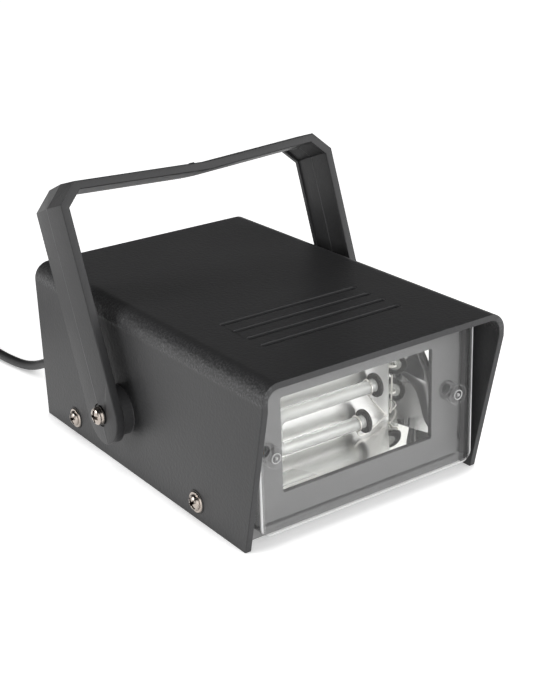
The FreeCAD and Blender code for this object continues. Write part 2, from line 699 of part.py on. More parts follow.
def tube_corners(drop):
    """The flash tube's route, its ends cut short by some length."""
    line, left = -size("tube_line"), -size("tube_left")
    upper, lower = size("tube_upper"), size("tube_lower")
    return [
        Vector(size("tube_upper_end") - drop, line, upper), Vector(left, line, upper),
        Vector(left, line, lower), Vector(size("tube_lower_end") - drop, line, lower),
    ]


def make_flash_tube():
    radii = [size("tube_bend")] * 2
    seal = size("tube_seal")
    glass = pipe(tube_corners(0), radii, size("tube_radius"))
    bore = pipe(tube_corners(seal), radii, size("tube_bore"))
    pins = [
        Part.makeCylinder(size("electrode_radius") + size("small_fit"), seal + 2 * EPS,
                          end - Vector(seal + EPS, 0, 0), Vector(1, 0, 0))
        for end in (tube_corners(0)[0], tube_corners(0)[-1])
    ]
    keep(shape_piece("flash_tube", glass.cut(bore).cut(pins)))


def make_tube_electrodes():
    """A pin in each end of the tube, its lead bent back through the wall and down to the board."""
    leads = []
    thick, bend = size("electrode_radius"), 3 * size("electrode_radius")
    for end in (tube_corners(0)[0], tube_corners(0)[-1]):
        start = end - Vector(size("electrode_inside"), 0, 0)
        turn = end + Vector(size("electrode_outside"), 0, 0)
        tip = Vector(turn.x, -size("electrode_back"), end.z)
        foot = Vector(tip.x, tip.y, size("board_top"))
        leads.append(pipe([start, turn, tip, foot], [bend, bend], thick))
    keep(shape_piece("tube_electrodes", Part.makeCompound(leads)))


def make_grommets():
    ring = turned("tube_ring", [
        ("tube_radius + small_fit", "0"),
        ("ring_radius - ring_edge", "0"),
        ("ring_radius", "ring_edge"),
        ("ring_radius", "ring_thick - ring_edge"),
        ("ring_radius - ring_edge", "ring_thick"),
        ("tube_radius + small_fit", "ring_thick"),
    ])
    copies("tube_grommets", ring, [
        (("tube_upper_end - ring_thick", "-tube_line", "tube_upper"), (1, 0, 0)),
        (("tube_lower_end - ring_thick", "-tube_line", "tube_lower"), (1, 0, 0)),
    ])


def make_trigger_wire():
    """A turn of wire round each leg, joined at the back wall, with a tail to its transformer."""
    thick, reach = size("trigger_wire_radius"), size("tube_radius") + size("trigger_wire_radius")
    line, under = -size("tube_line"), size("tube_lower") - size("ring_radius") - size("trigger_dip")
    joint = Vector(size("trigger_post"), -size("mirror_back") - 3 * thick, size("trigger_height"))
    turns, starts = [], []
    for end, level in (("tube_upper_end", "tube_upper"), ("tube_lower_end", "tube_lower")):
        across = size(end) - size("ring_thick") - size("trigger_turn")
        turns.append(Part.makeTorus(reach, thick, Vector(across, line, size(level)), Vector(1, 0, 0)))
        starts.append(Vector(across, line, size(level) - reach))
    strand = pipe([starts[0], joint], [], thick)
    dipped = pipe([starts[1], Vector(starts[1].x + 4 * thick, line, under),
                   Vector(size("tube_lower_end") + 4 * thick, line, under), joint], [4 * thick, 4 * thick], thick)
    rear = Vector(joint.x, -size("trigger_rear"), joint.z)
    foot = Vector(rear.x, rear.y, size("board_top") + size("trigger_tall"))
    tail = pipe([joint, rear, foot], [3 * thick], thick)
    knot = Part.makeSphere(2 * thick, joint)
    keep(shape_piece("trigger_wire", knot.fuse([strand, dipped, tail] + turns)))


def screw(label, shank, length, head, head_height, flange="0", flange_height="0"):
    """A cross-head screw standing on its tip, with the seat of its head at its own origin."""
    profile = [("0", "-(%s)" % length), (shank, "-(%s)" % length), (shank, "0")]
    if flange != "0":
        profile += [(flange, "0"), (flange, flange_height)]
    profile += [
        (head, flange_height),
        (head, "%s + %s * 0.45" % (flange_height, head_height)),
        ("(%s) * 0.72" % head, "%s + %s * 0.9" % (flange_height, head_height)),
        ("(%s) * 0.3" % head, "%s + %s" % (flange_height, head_height)),
        ("0", "%s + %s" % (flange_height, head_height)),
    ]
    made = turned(label, profile)
    cross = sketch(made, "XY_Plane", "%s + %s" % (flange_height, head_height))
    arm, half = "(%s) * 0.62" % head, "recess_width / 2"
    outline(cross, [
        ("-" + arm, "-" + half), ("-" + half, "-" + half), ("-" + half, "-" + arm), (half, "-" + arm),
        (half, "-" + half), (arm, "-" + half), (arm, half), (half, half),
        (half, arm), ("-" + half, arm), ("-" + half, half), ("-" + arm, half),
    ])
    pocket(cross, "recess_deep")
    return made


def make_fasteners():
    side = screw("side_screw", "side_screw_shank / 2", "side_screw_length", "side_head_radius",
                 "side_head_height", "side_flange_radius", "side_flange_height")
    copies("side_screws", side, [
        ((sign + "half_width", along, "side_screw_height"), (way, 0, 0))
        for sign, way in (("-", -1), ("", 1)) for along in ("-side_screw_front", "side_screw_rear")
    ])
    board = screw("board_screw", "board_screw / 2", "board_screw_length",
                  "board_head_radius", "board_head_height")
    copies("board_screws", board, [
        ((across, along, "board_top"), (0, 0, 1))
        for across in ("-post_side", "post_side") for along in ("-post_front", "post_rear")
    ])
    both = (("-", -1), ("", 1))
    pivot = screw("pivot_screw", "pivot_screw / 2", "head_face - pivot_tip",
                  "pivot_head_radius", "pivot_head_height")
    copies("pivot_screws", pivot, [((sign + "head_face", "pivot_back", "pivot_height"), (way, 0, 0))
                                   for sign, way in both])
    ring = turned("washer", [
        ("pivot_hole", "0"), ("washer_radius", "0"),
        ("washer_radius", "washer_thick"), ("pivot_hole", "washer_thick"),
    ])
    split = sketch(ring, "XY_Plane")
    rectangle(split, "-washer_gap / 2", "washer_gap / 2", "0", "2 * washer_radius")
    pocket(split, "4 * washer_thick", symmetric=True)
    copies("pivot_spring_washers", ring, [((sign + "washer_face", "pivot_back", "pivot_height"), (way, 0, 0))
                                          for sign, way in both])
    hexagon = DOC.addObject("Part::Prism", "nut_blank")
    hexagon.Polygon = 6
    hexagon.setExpression("Circumradius", formula("nut_flats / 2 / cos(30)"))
    hexagon.setExpression("Height", formula("nut_height"))
    nut = cut("nut", hexagon, rod("nut_bore", "pivot_screw / 2 + small_fit", "nut_height", ("0", "0", "0")))
    copies("pivot_nuts", nut, [((sign + "inner_half", "pivot_back", "pivot_height"), (-way, 0, 0))
                               for sign, way in both])


def yoke_line(depth):
    """The yoke's line at some depth under its outer face, from the left arm over the bar to the right."""
    corner = "(%s) * tan(22.5)" % depth
    arm = "(bracket_half + arm_splay - (%s))" % depth
    shoulder = "(bracket_half + arm_splay - bracket_chamfer - %s)" % corner
    low = "bracket_reach - bracket_chamfer - " + corner
    return [
        ("-" + arm, low),
        ("-" + shoulder, "bracket_reach - (%s)" % depth),
        ("nib_right", "bracket_reach - bar_sag - (%s)" % depth),
        (shoulder, "bracket_reach - (%s)" % depth),
        (arm, low),
    ]


def round_strap_ends(yoke):
    """Cut the strap's lower ends half round about the pivot axis."""
    ends = sketch(yoke, "YZ_Plane")
    half, wide = size("strap_half"), size("strap_width")
    circle_shape = Part.Circle(Vector(), Vector(0, 0, 1), half)
    ends.addGeometry(Part.ArcOfCircle(circle_shape, math.pi, 2 * math.pi), False)
    ends.addConstraint(Sketcher.Constraint("Coincident", 0, 3, -1, 1))
    ends.addConstraint(Sketcher.Constraint("PointOnObject", 0, 1, -1))
    ends.addConstraint(Sketcher.Constraint("PointOnObject", 0, 2, -1))
    fix(ends, "Radius", "strap_half", 0)
    spots = [Vector(half, 0, 0), Vector(wide, 0, 0), Vector(wide, -wide, 0),
             Vector(-wide, -wide, 0), Vector(-wide, 0, 0), Vector(-half, 0, 0)]
    for start, end in zip(spots, spots[1:]):
        ends.addGeometry(Part.LineSegment(start, end), False)
    for element in range(5):
        ends.addConstraint(Sketcher.Constraint("Coincident", element, 2, element + 1, 1))
    ends.addConstraint(Sketcher.Constraint("Coincident", 5, 2, 0, 1))
    corners = [("strap_width", "0"), ("strap_width", "-strap_width"),
               ("-strap_width", "-strap_width"), ("-strap_width", "0")]
    for element, (across, up) in enumerate(corners, 2):
        pin_point(ends, element, 1, across, up)
    pocket(ends, "3 * bracket_half", symmetric=True)


def make_bracket():
    """The yoke is drawn upright round its own pivot axis, and its placement leans it back."""
    yoke = body("bracket")
    face = sketch(yoke, "XZ_Plane")
    edges = []
    for side, depth in (("bracket_half", "0"), ("bracket_inside", "strap_thick")):
        left = [("-" + side, "-strap_width"), ("-" + side, "recess_start")]
        right = [(side, "recess_start"), (side, "-strap_width")]
        edges.append(left + yoke_line(depth) + right)
    outline(face, edges[0] + edges[1][::-1])
    strap = pad(face, "strap_half")
    strap.SideType = "Two sides"
    strap.setExpression("Length2", formula("strap_half"))
    strap.setExpression("TaperAngle", formula("-strap_draft"))
    strap.setExpression("TaperAngle2", formula("-strap_draft"))
    round_strap_ends(yoke)
    hollow = sketch(yoke, "XZ_Plane")
    line = yoke_line("strap_thick - strap_recess")
    for sign, low, high in (("-", line[0], line[1]), ("", line[4], line[3])):
        foot = sign + "(bracket_inside + strap_recess)"
        outline(hollow, [(foot, "recess_start"), low, high, (high[0], "recess_start")])
    pocket(hollow, "strap_width - 2 * strap_rim", symmetric=True)
    for sign, outward in (("-", False), ("", True)):
        seat = sketch(yoke, "YZ_Plane", sign + "seat_face")
        circle(seat, "0", "0", "seat_radius")
        pocket(seat, "strap_thick", reverse=outward)
    hole = sketch(yoke, "YZ_Plane")
    circle(hole, "0", "0", "pivot_hole")
    pocket(hole, "3 * bracket_half", symmetric=True)
    side = size("strap_half")
    soften(yoke, "Fillet", lambda e: near(e.BoundBox.YMin, side) and near(e.BoundBox.YMax, side)
           and e.BoundBox.DiagonalLength > side, "strap_edge")
    nib = sketch(yoke, "XY_Plane", "bracket_reach - bar_sag - strap_thick / 2")
    circle(nib, "nib_right", "0", "nib_radius")
    pad(nib, "strap_thick / 2 + nib_height")
    yoke.Placement = Placement(Vector(), Rotation(Vector(-1, 0, 0), 1))
    yoke.setExpression(".Placement.Rotation.Angle", formula("bracket_lean"))
    yoke.setExpression(".Placement.Base.y", formula("pivot_back"))
    yoke.setExpression(".Placement.Base.z", formula("pivot_height"))
    return keep(yoke)


def make_speed_control():
    spot = ("dial_right", "rear_inside", "dial_height")
    backward = (0, 1, 0)
    control = turned("control_turned", [
        ("0", "-pot_depth"),
        ("pot_radius", "-pot_depth"),
        ("pot_radius", "0"),
        ("bush_radius", "0"),
        ("bush_radius", "tray_wall + bush_reach"),
        ("shaft_radius + shaft_slack", "tray_wall + bush_reach"),
        ("shaft_radius + shaft_slack", "2 * shaft_slack - pot_depth / 2"),
        ("0", "2 * shaft_slack - pot_depth / 2"),
    ])
    place(control, spot, backward)
    lugs = [
        block("lug", "pot_lug", "pot_lug_thick", "pot_lug_length + pot_radius / 2", (
            "dial_right + (%d) * pot_lug_pitch - pot_lug / 2" % step,
            "rear_inside - pot_depth / 2",
            "dial_height - pot_radius - pot_lug_length",
        )) for step in (-1, 0, 1)
    ]
    keep(fused("speed_control", [control] + lugs))
    washer = turned("control_washer", [
        ("bush_radius + small_fit", "0"), ("pot_washer_radius", "0"),
        ("pot_washer_radius", "pot_washer_thick"), ("bush_radius + small_fit", "pot_washer_thick"),
    ])
    keep(place(washer, ("dial_right", "rear_face", "dial_height"), backward))
    hexagon = DOC.addObject("Part::Prism", "control_nut_blank")
    hexagon.Polygon = 6
    hexagon.setExpression("Circumradius", formula("pot_nut_flats / 2 / cos(30)"))
    hexagon.setExpression("Height", formula("pot_nut_height"))
    bore = rod("control_nut_bore", "bush_radius + small_fit", "pot_nut_height", ("0", "0", "0"))
    keep(place(cut("control_nut", hexagon, bore),
               ("dial_right", "rear_face + pot_washer_thick", "dial_height"), backward))
    reach = "pot_depth / 2 + tray_wall + knob_gap + knob_length - knob_cap"
    keep(rod("control_shaft", "shaft_radius", reach,
             ("dial_right", "rear_inside - pot_depth / 2 + 4 * shaft_slack", "dial_height"), backward))


def make_speed_knob():
    knob = turned("speed_knob", [
        ("knob_hollow", "0"),
        ("knob_radius", "0"),
        ("knob_top_radius", "knob_length - knob_edge"),
        ("knob_top_radius - knob_edge", "knob_length"),
        ("0", "knob_length"),
        ("0", "knob_length - knob_cap + 5 * shaft_slack"),
        ("shaft_radius + small_fit / 2", "knob_length - knob_cap + 5 * shaft_slack"),
        ("shaft_radius + small_fit / 2", "knob_hollow_deep"),
        ("knob_hollow", "knob_hollow_deep"),
    ])
    flute = sketch(knob, "XY_Plane", "knob_cap")
    circle(flute, "knob_radius", "0", "flute_radius")
    first = pocket(flute, "knob_length", reverse=True)
    ring = knob.newObject("PartDesign::PolarPattern", "Grip")
    ring.Originals = [first]
    ring.Axis = (flute, ["N_Axis"])
    ring.Angle = 360
    ring.setExpression("Occurrences", formula("knob_flutes"))
    knob.Tip = ring
    pointer = sketch(knob, "XY_Plane", "knob_length")
    rectangle(pointer, "-pointer_width / 2", "pointer_width / 2", "-knob_radius", "-shaft_radius")
    pocket(pointer, "pointer_deep")
    place(knob, ("dial_right", "knob_back", "dial_height"), (0, 1, 0))
    return keep(knob)


def make_circuit_board():
    board = body("circuit_board")
    plan = sketch(board, "XY_Plane", "board_base")
    rectangle(plan, "-board_width / 2", "board_width / 2", "-board_front", "board_rear")
    for across in ("-post_side", "post_side"):
        for along in ("-post_front", "post_rear"):
            circle(plan, across, along, "board_screw / 2 + screw_slack")
    pad(plan, "board_thick")
    return keep(board)


def make_storage_capacitors():
    can = turned("storage_capacitor", [
        ("0", "0"),
        ("store_radius - store_bead", "0"),
        ("store_radius", "store_bead"),
        ("store_radius", "4 * store_bead"),
        ("store_radius - store_bead", "5 * store_bead"),
        ("store_radius", "6 * store_bead"),
        ("store_radius", "store_height - store_bead"),
        ("store_radius - store_bead", "store_height"),
        ("0", "store_height"),
    ])
    copies("storage_capacitors", can, [
        (("-store_left", "%d * store_pitch - store_front" % step, "board_top"), (0, 0, 1)) for step in (0, 1)
    ])


def make_board_parts():
    film = body("film_capacitor")
    foot = sketch(film, "XY_Plane", "board_top")
    rectangle(foot, "-film_left - film_width / 2", "film_width / 2 - film_left",
              "-film_front - film_depth / 2", "film_depth / 2 - film_front")
    pad(foot, "film_height")
    base = size("board_top")
    soften(film, "Fillet", lambda e: middle(e).z > base + EPS, "film_edge")
    keep(film)

    bobbin = turned("trigger_transformer", [
        ("0", "0"),
        ("trigger_flange", "0"),
        ("trigger_flange", "trigger_cheek"),
        ("trigger_core", "trigger_cheek"),
        ("trigger_core", "trigger_tall - trigger_cheek"),
        ("trigger_flange", "trigger_tall - trigger_cheek"),
        ("trigger_flange", "trigger_tall"),
        ("0", "trigger_tall"),
    ])
    keep(place(bobbin, ("trigger_post", "-trigger_rear", "board_top")))

    ceramic = block("ceramic", "ballast_width", "ballast_length", "ballast_width",
                    ("ballast_right", "-ballast_front", "board_top + ballast_lift"))
    legs = [rod("ballast_leg", "lead_radius", "ballast_lift", (
        "ballast_right + ballast_width / 2",
        "ballast_length / 2 - ballast_front + (%d) * 0.42 * ballast_length" % way, "board_top",
    )) for way in (-1, 1)]
    keep(fused("ballast_resistor", [ceramic] + legs))


def make_diodes():
    """Each diode lies across its two leads, which stand on the board."""
    rise, half, thick = size("diode_radius"), size("diode_span") / 2, size("lead_radius")
    right = Vector(1, 0, 0)
    barrel = Part.makeCylinder(rise, size("diode_length"), Vector(-size("diode_length") / 2, 0, rise), right)
    lead = Part.makeCylinder(thick, 2 * half, Vector(-half, 0, rise), right)
    feet = [Part.makeCylinder(0.8 * thick, rise, Vector(way * (half - thick), 0, 0)) for way in (-1, 1)]
    diode = shape_piece("diode", barrel.fuse([lead] + feet))
    copies("rectifier_diodes", diode, [
        (("diode_right", "%d * diode_pitch - diode_front" % step, "board_top"), (0, 0, 1)) for step in range(4)
    ])


def make_fuse():
    height = "board_top + fuse_lift"
    fuse = turned("fuse", [
        ("0", "0"), ("fuse_cap", "0"), ("fuse_cap", "fuse_cap_length"), ("fuse_radius", "fuse_cap_length"),
        ("fuse_radius", "fuse_length - fuse_cap_length"), ("fuse_cap", "fuse_length - fuse_cap_length"),
        ("fuse_cap", "fuse_length"), ("0", "fuse_length"),
    ])
    keep(place(fuse, ("fuse_right", "fuse_rear", height), (1, 0, 0)))
    clip = body("fuse_clip")
    shape = sketch(clip, "YZ_Plane")
    inside, outside = "(fuse_cap + small_fit)", "(fuse_cap + small_fit + clip_wall)"
    outline(shape, [
        ("-" + outside, "0"), (outside, "0"),
        (outside, "fuse_lift + fuse_cap"), (inside, "fuse_lift + fuse_cap"),
        (inside, "fuse_lift - " + inside), ("-" + inside, "fuse_lift - " + inside),
        ("-" + inside, "fuse_lift + fuse_cap"), ("-" + outside, "fuse_lift + fuse_cap"),
    ])
    pad(shape, "clip_length")
    gap = "(fuse_cap_length - clip_length) / 2"
    clips = []
    for start in ("fuse_right + " + gap, "fuse_right + fuse_length - clip_length - " + gap):
        link = DOC.addObject("App::Link", "fuse_clip_copy")
        link.LinkedObject = clip
        clips.append(place(link, (start, "fuse_rear", "board_top")))
    group("fuse_clips", clips)


def make_mains_terminal():
    solid = block("terminal_block", "block_long", "block_deep", "block_tall", (
        "-block_left - block_long / 2", "block_rear - block_deep / 2", "board_top"))
    holes = [rod("terminal_hole", "block_hole", "block_deep / 2", (
        "-block_left + (%d) * wire_spacing / 2" % way, "block_rear", "board_top + block_tall / 2",
    ), (0, 1, 0)) for way in (-1, 1)]
    wells = [rod("terminal_well", "block_hole", "block_tall / 2", (
        "-block_left + (%d) * wire_spacing / 2" % way, "block_rear", "board_top + block_tall / 2",
    )) for way in (-1, 1)]
    keep(cut("mains_terminal", solid, fused("terminal_holes", holes + wells)))


def make_inner_leads():
    """Insulated leads from the strain relief to the terminal, and from the control to the board."""
    thick = size("wire_radius")
    back = size("rear_inside") - size("relief_catch")
    level = size("board_top") + size("block_tall") / 2
    leads = []
    for way in (-1, 1):
        start = Vector(way * 1.5 * thick - size("cord_left"), back, size("cord_height"))
        entry = Vector(way * size("wire_spacing") / 2 - size("block_left"), size("block_rear"), level)
        ahead = entry + Vector(0, size("block_deep") / 2 + 9 * thick, 0)
        route = [start, start - Vector(0, 8 * thick, 0), ahead, entry]
        leads.append(pipe(route, [4 * thick, 4 * thick], thick))
    keep(shape_piece("mains_leads", Part.makeCompound(leads)))
    control = []
    for step in (-1, 0, 1):
        lug = Vector(size("dial_right") + step * size("pot_lug_pitch"),
                     size("rear_inside") - size("pot_depth") / 2 + size("pot_lug_thick") / 2,
                     size("dial_height") - size("pot_radius") - size("pot_lug_length"))
        foot = Vector(lug.x - 6 * thick, size("board_rear") - 4 * thick, size("board_top"))
        control.append(pipe([
            lug, lug - Vector(0, 0, 4 * thick), foot + Vector(0, 0, 6 * thick), foot,
        ], [2 * thick, 2 * thick], thick / 2))
    keep(shape_piece("control_leads", Part.makeCompound(control)))


def make_strain_relief():
    slope = "(relief_root - relief_tip) / (relief_length - relief_flange_thick)"

    def girth(height):
        return "relief_root - (%s - relief_flange_thick) * %s" % (height, slope)

    profile = [
        ("0", "-tray_wall - relief_catch"),
        ("relief_root + relief_catch / 2", "-tray_wall - relief_catch"),
        ("relief_root + relief_catch / 2", "-tray_wall"),
        ("relief_root", "-tray_wall"),
        ("relief_root", "0"),
        ("relief_flange", "0"),
        ("relief_flange", "relief_flange_thick"),
        ("relief_root", "relief_flange_thick"),
    ]
    for step in range(int(size("relief_grooves"))):
        low = "(relief_flange_thick + groove_pitch * (%d + 0.5))" % step
        high = "(%s + groove_width)" % low
        profile += [(girth(low), low), (girth(low) + " - groove_deep", low),
                    (girth(high) + " - groove_deep", high), (girth(high), high)]
    profile += [("relief_tip", "relief_length"), ("0", "relief_length")]
    relief = turned("strain_relief", profile)
    keep(place(relief, ("-cord_left", "rear_face", "cord_height"), (0, 1, 0)))


# The free cord's route from the strain relief to the coil, chosen by hand.
CORD_ROUTE = [
    (-44.0, 114.5, 13.0),
    (-44.0, 123.5, 13.0),
    (-44.2, 133.5, 9.8),
    (-45.2, 143.5, 5.2),
    (-47.2, 154.5, 2.6),
    (-49.5, 166.0, 2.55),
    (-50.8, 179.0, 2.55),
    (-50.3, 193.5, 2.55),
    (-47.5, 208.0, 2.55),
    (-43.0, 221.5, 2.55),
    (-39.0, 235.0, 2.55),
    (-37.0, 248.2, 2.55),
]

# The short tail from the coil to the plug.
TAIL_ROUTE = [
    (-107.0, 248.2, 8.6),
    (-107.0, 238.5, 6.5),
    (-107.0, 229.0, 6.5),
]


def make_cord(label, route):
    """A round cord of straight runs joined by arcs as large as their runs allow."""
    points = [Vector(*spot) for spot in route]
    radii = []
    for before, corner, after in zip(points, points[1:], points[2:]):
        turn = (corner - before).getAngle(after - corner)
        shorter = min((corner - before).Length, (after - corner).Length)
        radii.append(0.45 * shorter / math.tan(turn / 2))
    radius = size("cord_diameter") / 2
    length = bent_path(points, radii).Length
    solid = pipe(points, radii, radius)
    bends = ", ".join("%.0f" % value for value in radii)
    print("%s: %.1f mm long, volume %.1f of %.1f mm3, radii %s" % (
        label, length, solid.Volume, length * math.pi * radius ** 2, bends))
    keep(shape_piece(label, solid))


def make_coil():
    ring = turned("coil_ring", [
        ("coil_radius - coil_width / 2", "0"),
        ("coil_radius + coil_width / 2", "0"),
        ("coil_radius + coil_width / 2", "coil_height"),
        ("coil_radius - coil_width / 2", "coil_height"),
    ])
    soften(ring, "Chamfer", lambda e: e.Curve.TypeId == "Part::GeomCircle", "coil_edge")
    place(ring, ("-coil_left", "coil_back", "0"))
    tie = body("cord_tie")
    loop = sketch(tie, "YZ_Plane", "-coil_left")
    low, high = "(coil_back + coil_radius - coil_width / 2", "(coil_back + coil_radius + coil_width / 2"
    rectangle(loop, low + " - tie_thick)", high + " + tie_thick)", "0", "coil_height + tie_thick")
    rectangle(loop, low + " + tie_thick / 2)", high + " - tie_thick / 2)",
              "tie_thick", "coil_height - tie_thick / 2")
    pad(loop, "tie_width", symmetric=True)
    keep(tie)
    keep(cut("power_cord_coil", ring, tie))


def make_plug():
    plug = body("plug_body")
    plan = sketch(plug, "XY_Plane", "plug_thick / 2")
    outline(plan, [
        ("-tail_left - plug_neck / 2", "plug_back"),
        ("-tail_left - plug_width / 2", "plug_back - plug_shoulder"),
        ("-tail_left - plug_width / 2", "plug_back - plug_length"),
        ("-tail_left + plug_width / 2", "plug_back - plug_length"),
        ("-tail_left + plug_width / 2", "plug_back - plug_shoulder"),
        ("-tail_left + plug_neck / 2", "plug_back"),
    ])
    pad(plan, "plug_thick", symmetric=True)
    soften(plug, "Fillet", lambda e: axis_of(e) == "z", "plug_edge")
    rear = size("plug_back")
    soften(plug, "Fillet", lambda e: axis_of(e) != "z" and middle(e).y < rear - EPS, "plug_edge / 2")
    keep(plug)
    pin = turned("plug_pin", [
        ("0", "0"), ("pin_radius", "0"), ("pin_radius", "pin_length - pin_radius / 2"),
        ("pin_radius / 2", "pin_length"), ("0", "pin_length"),
    ])
    copies("plug_pins", pin, [
        (("-tail_left + (%d) * pin_spacing / 2" % way, "plug_back - plug_length", "plug_thick / 2"), (0, -1, 0))
        for way in (-1, 1)
    ])


def finish():
    """Stop on any failed object, then write every piece as a node."""
    DOC.recompute()
    failed = [item.Label for item in DOC.Objects if {"Invalid", "Error"} & set(item.State)]
    wrong = [piece.Label for piece in PIECES if piece.Shape.isNull() or not piece.Shape.isValid()]
    if failed or wrong:
        raise RuntimeError("failed objects %s, bad shapes %s" % (failed, wrong))
    os.makedirs("parts", exist_ok=True)
    for piece in PIECES:
        piece.Shape.exportStep("parts/%s.step" % piece.Label)
        print("%-24s %2d solids  %10.1f mm3" % (piece.Label, len(piece.Shape.Solids), piece.Shape.Volume))


fill_sheet()
make_top_cover()
make_base_tray()
make_lens_plate()
make_reflector()
make_flash_tube()
make_tube_electrodes()
make_grommets()
make_trigger_wire()
make_fasteners()
make_bracket()
make_speed_control()
make_speed_knob()
make_circuit_board()
make_storage_capacitors()
make_board_parts()
make_diodes()
make_fuse()
make_mains_terminal()
make_inner_leads()
make_strain_relief()
make_cord("power_cord", CORD_ROUTE)
make_coil()
make_cord("power_cord_tail", TAIL_ROUTE)
make_plug()
finish()
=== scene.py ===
"""A compact xenon stroboscope on a hanging bracket, dressed on its CAD frame, in metres."""

import json
import math

import bmesh
import bpy
from mathutils import Matrix, Vector


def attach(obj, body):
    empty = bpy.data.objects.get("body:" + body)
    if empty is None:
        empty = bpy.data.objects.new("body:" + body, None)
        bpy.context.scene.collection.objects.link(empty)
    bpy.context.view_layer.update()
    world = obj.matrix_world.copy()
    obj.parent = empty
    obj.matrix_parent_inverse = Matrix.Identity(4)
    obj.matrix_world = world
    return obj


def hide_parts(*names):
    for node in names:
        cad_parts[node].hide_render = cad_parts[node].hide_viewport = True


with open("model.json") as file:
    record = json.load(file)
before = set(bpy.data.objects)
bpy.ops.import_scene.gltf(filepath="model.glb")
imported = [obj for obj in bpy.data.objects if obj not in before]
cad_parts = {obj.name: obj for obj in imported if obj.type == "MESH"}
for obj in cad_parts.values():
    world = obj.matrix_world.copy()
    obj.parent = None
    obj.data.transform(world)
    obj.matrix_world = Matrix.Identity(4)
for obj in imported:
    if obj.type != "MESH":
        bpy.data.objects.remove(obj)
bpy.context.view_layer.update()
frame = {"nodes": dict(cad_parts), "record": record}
MM = 0.001

# Places on the object. The light goes towards -Y, and the two sides mirror each other in X.
PLATE_SIDE, PLATE_FRONT, PLATE_BOTTOM, PLATE_TOP = 56.7 * MM, -83.1 * MM, 5.8 * MM, 74.9 * MM
FRAME_FACE, FRAME_SIDE, FRAME_BOTTOM = -75.5 * MM, 56.5 * MM, 2.1 * MM
PEG_SIDE, PEG_HEIGHT = 48.3 * MM, 39.7 * MM
MIRROR_MOUTH, MIRROR_BACK = -73 * MM, -54 * MM
MIRROR_BACK_WIDE = 33.2 * MM
SCREW_SIDE, SCREW_FRONT, SCREW_HEIGHT, SCREW_SPACING = 62.5 * MM, -43.6 * MM, 8.5 * MM, 107.9 * MM
PIVOT_SIDE, PIVOT_ALONG, PIVOT_HEIGHT = 73.68 * MM, 17.1 * MM, 30 * MM
BRACKET_LEAN = math.radians(20.3)
KNOB_PLACE = (28 * MM, 94.5 * MM, 38 * MM)


# ---------------------------------------------------------------- node graphs


class Level:
    """One socket of a graph. Sums on levels add the Math nodes that work them out."""

    def __init__(self, graph, socket):
        self.graph, self.socket = graph, socket

    def sum(self, operation, *values):
        return self.graph.node("ShaderNodeMath", {"operation": operation}, list(values))

    def __add__(self, other):
        return self.sum("ADD", self, other)

    def __radd__(self, other):
        return self.sum("ADD", other, self)

    def __sub__(self, other):
        return self.sum("SUBTRACT", self, other)

    def __rsub__(self, other):
        return self.sum("SUBTRACT", other, self)

    def __mul__(self, other):
        return self.sum("MULTIPLY", self, other)

    def __rmul__(self, other):
        return self.sum("MULTIPLY", other, self)

    def __truediv__(self, other):
        return self.sum("DIVIDE", self, other)

    def size(self):
        return self.sum("ABSOLUTE", self)

    def root(self):
        return self.sum("SQRT", self)

    def sine(self):
        return self.sum("SINE", self)

    def cosine(self):
        return self.sum("COSINE", self)

    def most(self, other):
        return self.sum("MAXIMUM", self, other)

    def rise(self, low, high, start=0.0, end=1.0):
        """A smooth step from start to end as the level goes from low to high."""
        return self.graph.node("ShaderNodeMapRange", {"interpolation_type": "SMOOTHSTEP"}, {
            "Value": self, "From Min": low, "From Max": high, "To Min": start, "To Max": end,
        })


class Graph:
    """A node tree that is built from calls."""

    def __init__(self, tree):
        self.tree = tree
        self.tree.nodes.clear()

    def node(self, kind, settings=None, values=(), out=0):
        """A node of a type, its settings set first, then its sockets' values or links."""
        made = self.tree.nodes.new(kind)
        for key, value in (settings or {}).items():
            setattr(made, key, value)
        pairs = values.items() if isinstance(values, dict) else enumerate(values)
        for key, value in pairs:
            if isinstance(value, (Level, list)):
                for level in value if isinstance(value, list) else [value]:
                    self.tree.links.new(level.socket, made.inputs[key])
            else:
                made.inputs[key].default_value = value
        return Level(self, made.outputs[out]) if len(made.outputs) else made

    def ray(self, kind):
        """1 for a ray of a kind, such as Camera, and 0 for any other."""
        return self.node("ShaderNodeLightPath", out=f"Is {kind} Ray")


def grey(level):
    return (level, level, level)


def times(tone, factor):
    """A tone made lighter or darker."""
    return tuple(min(1.0, channel * factor) for channel in tone)


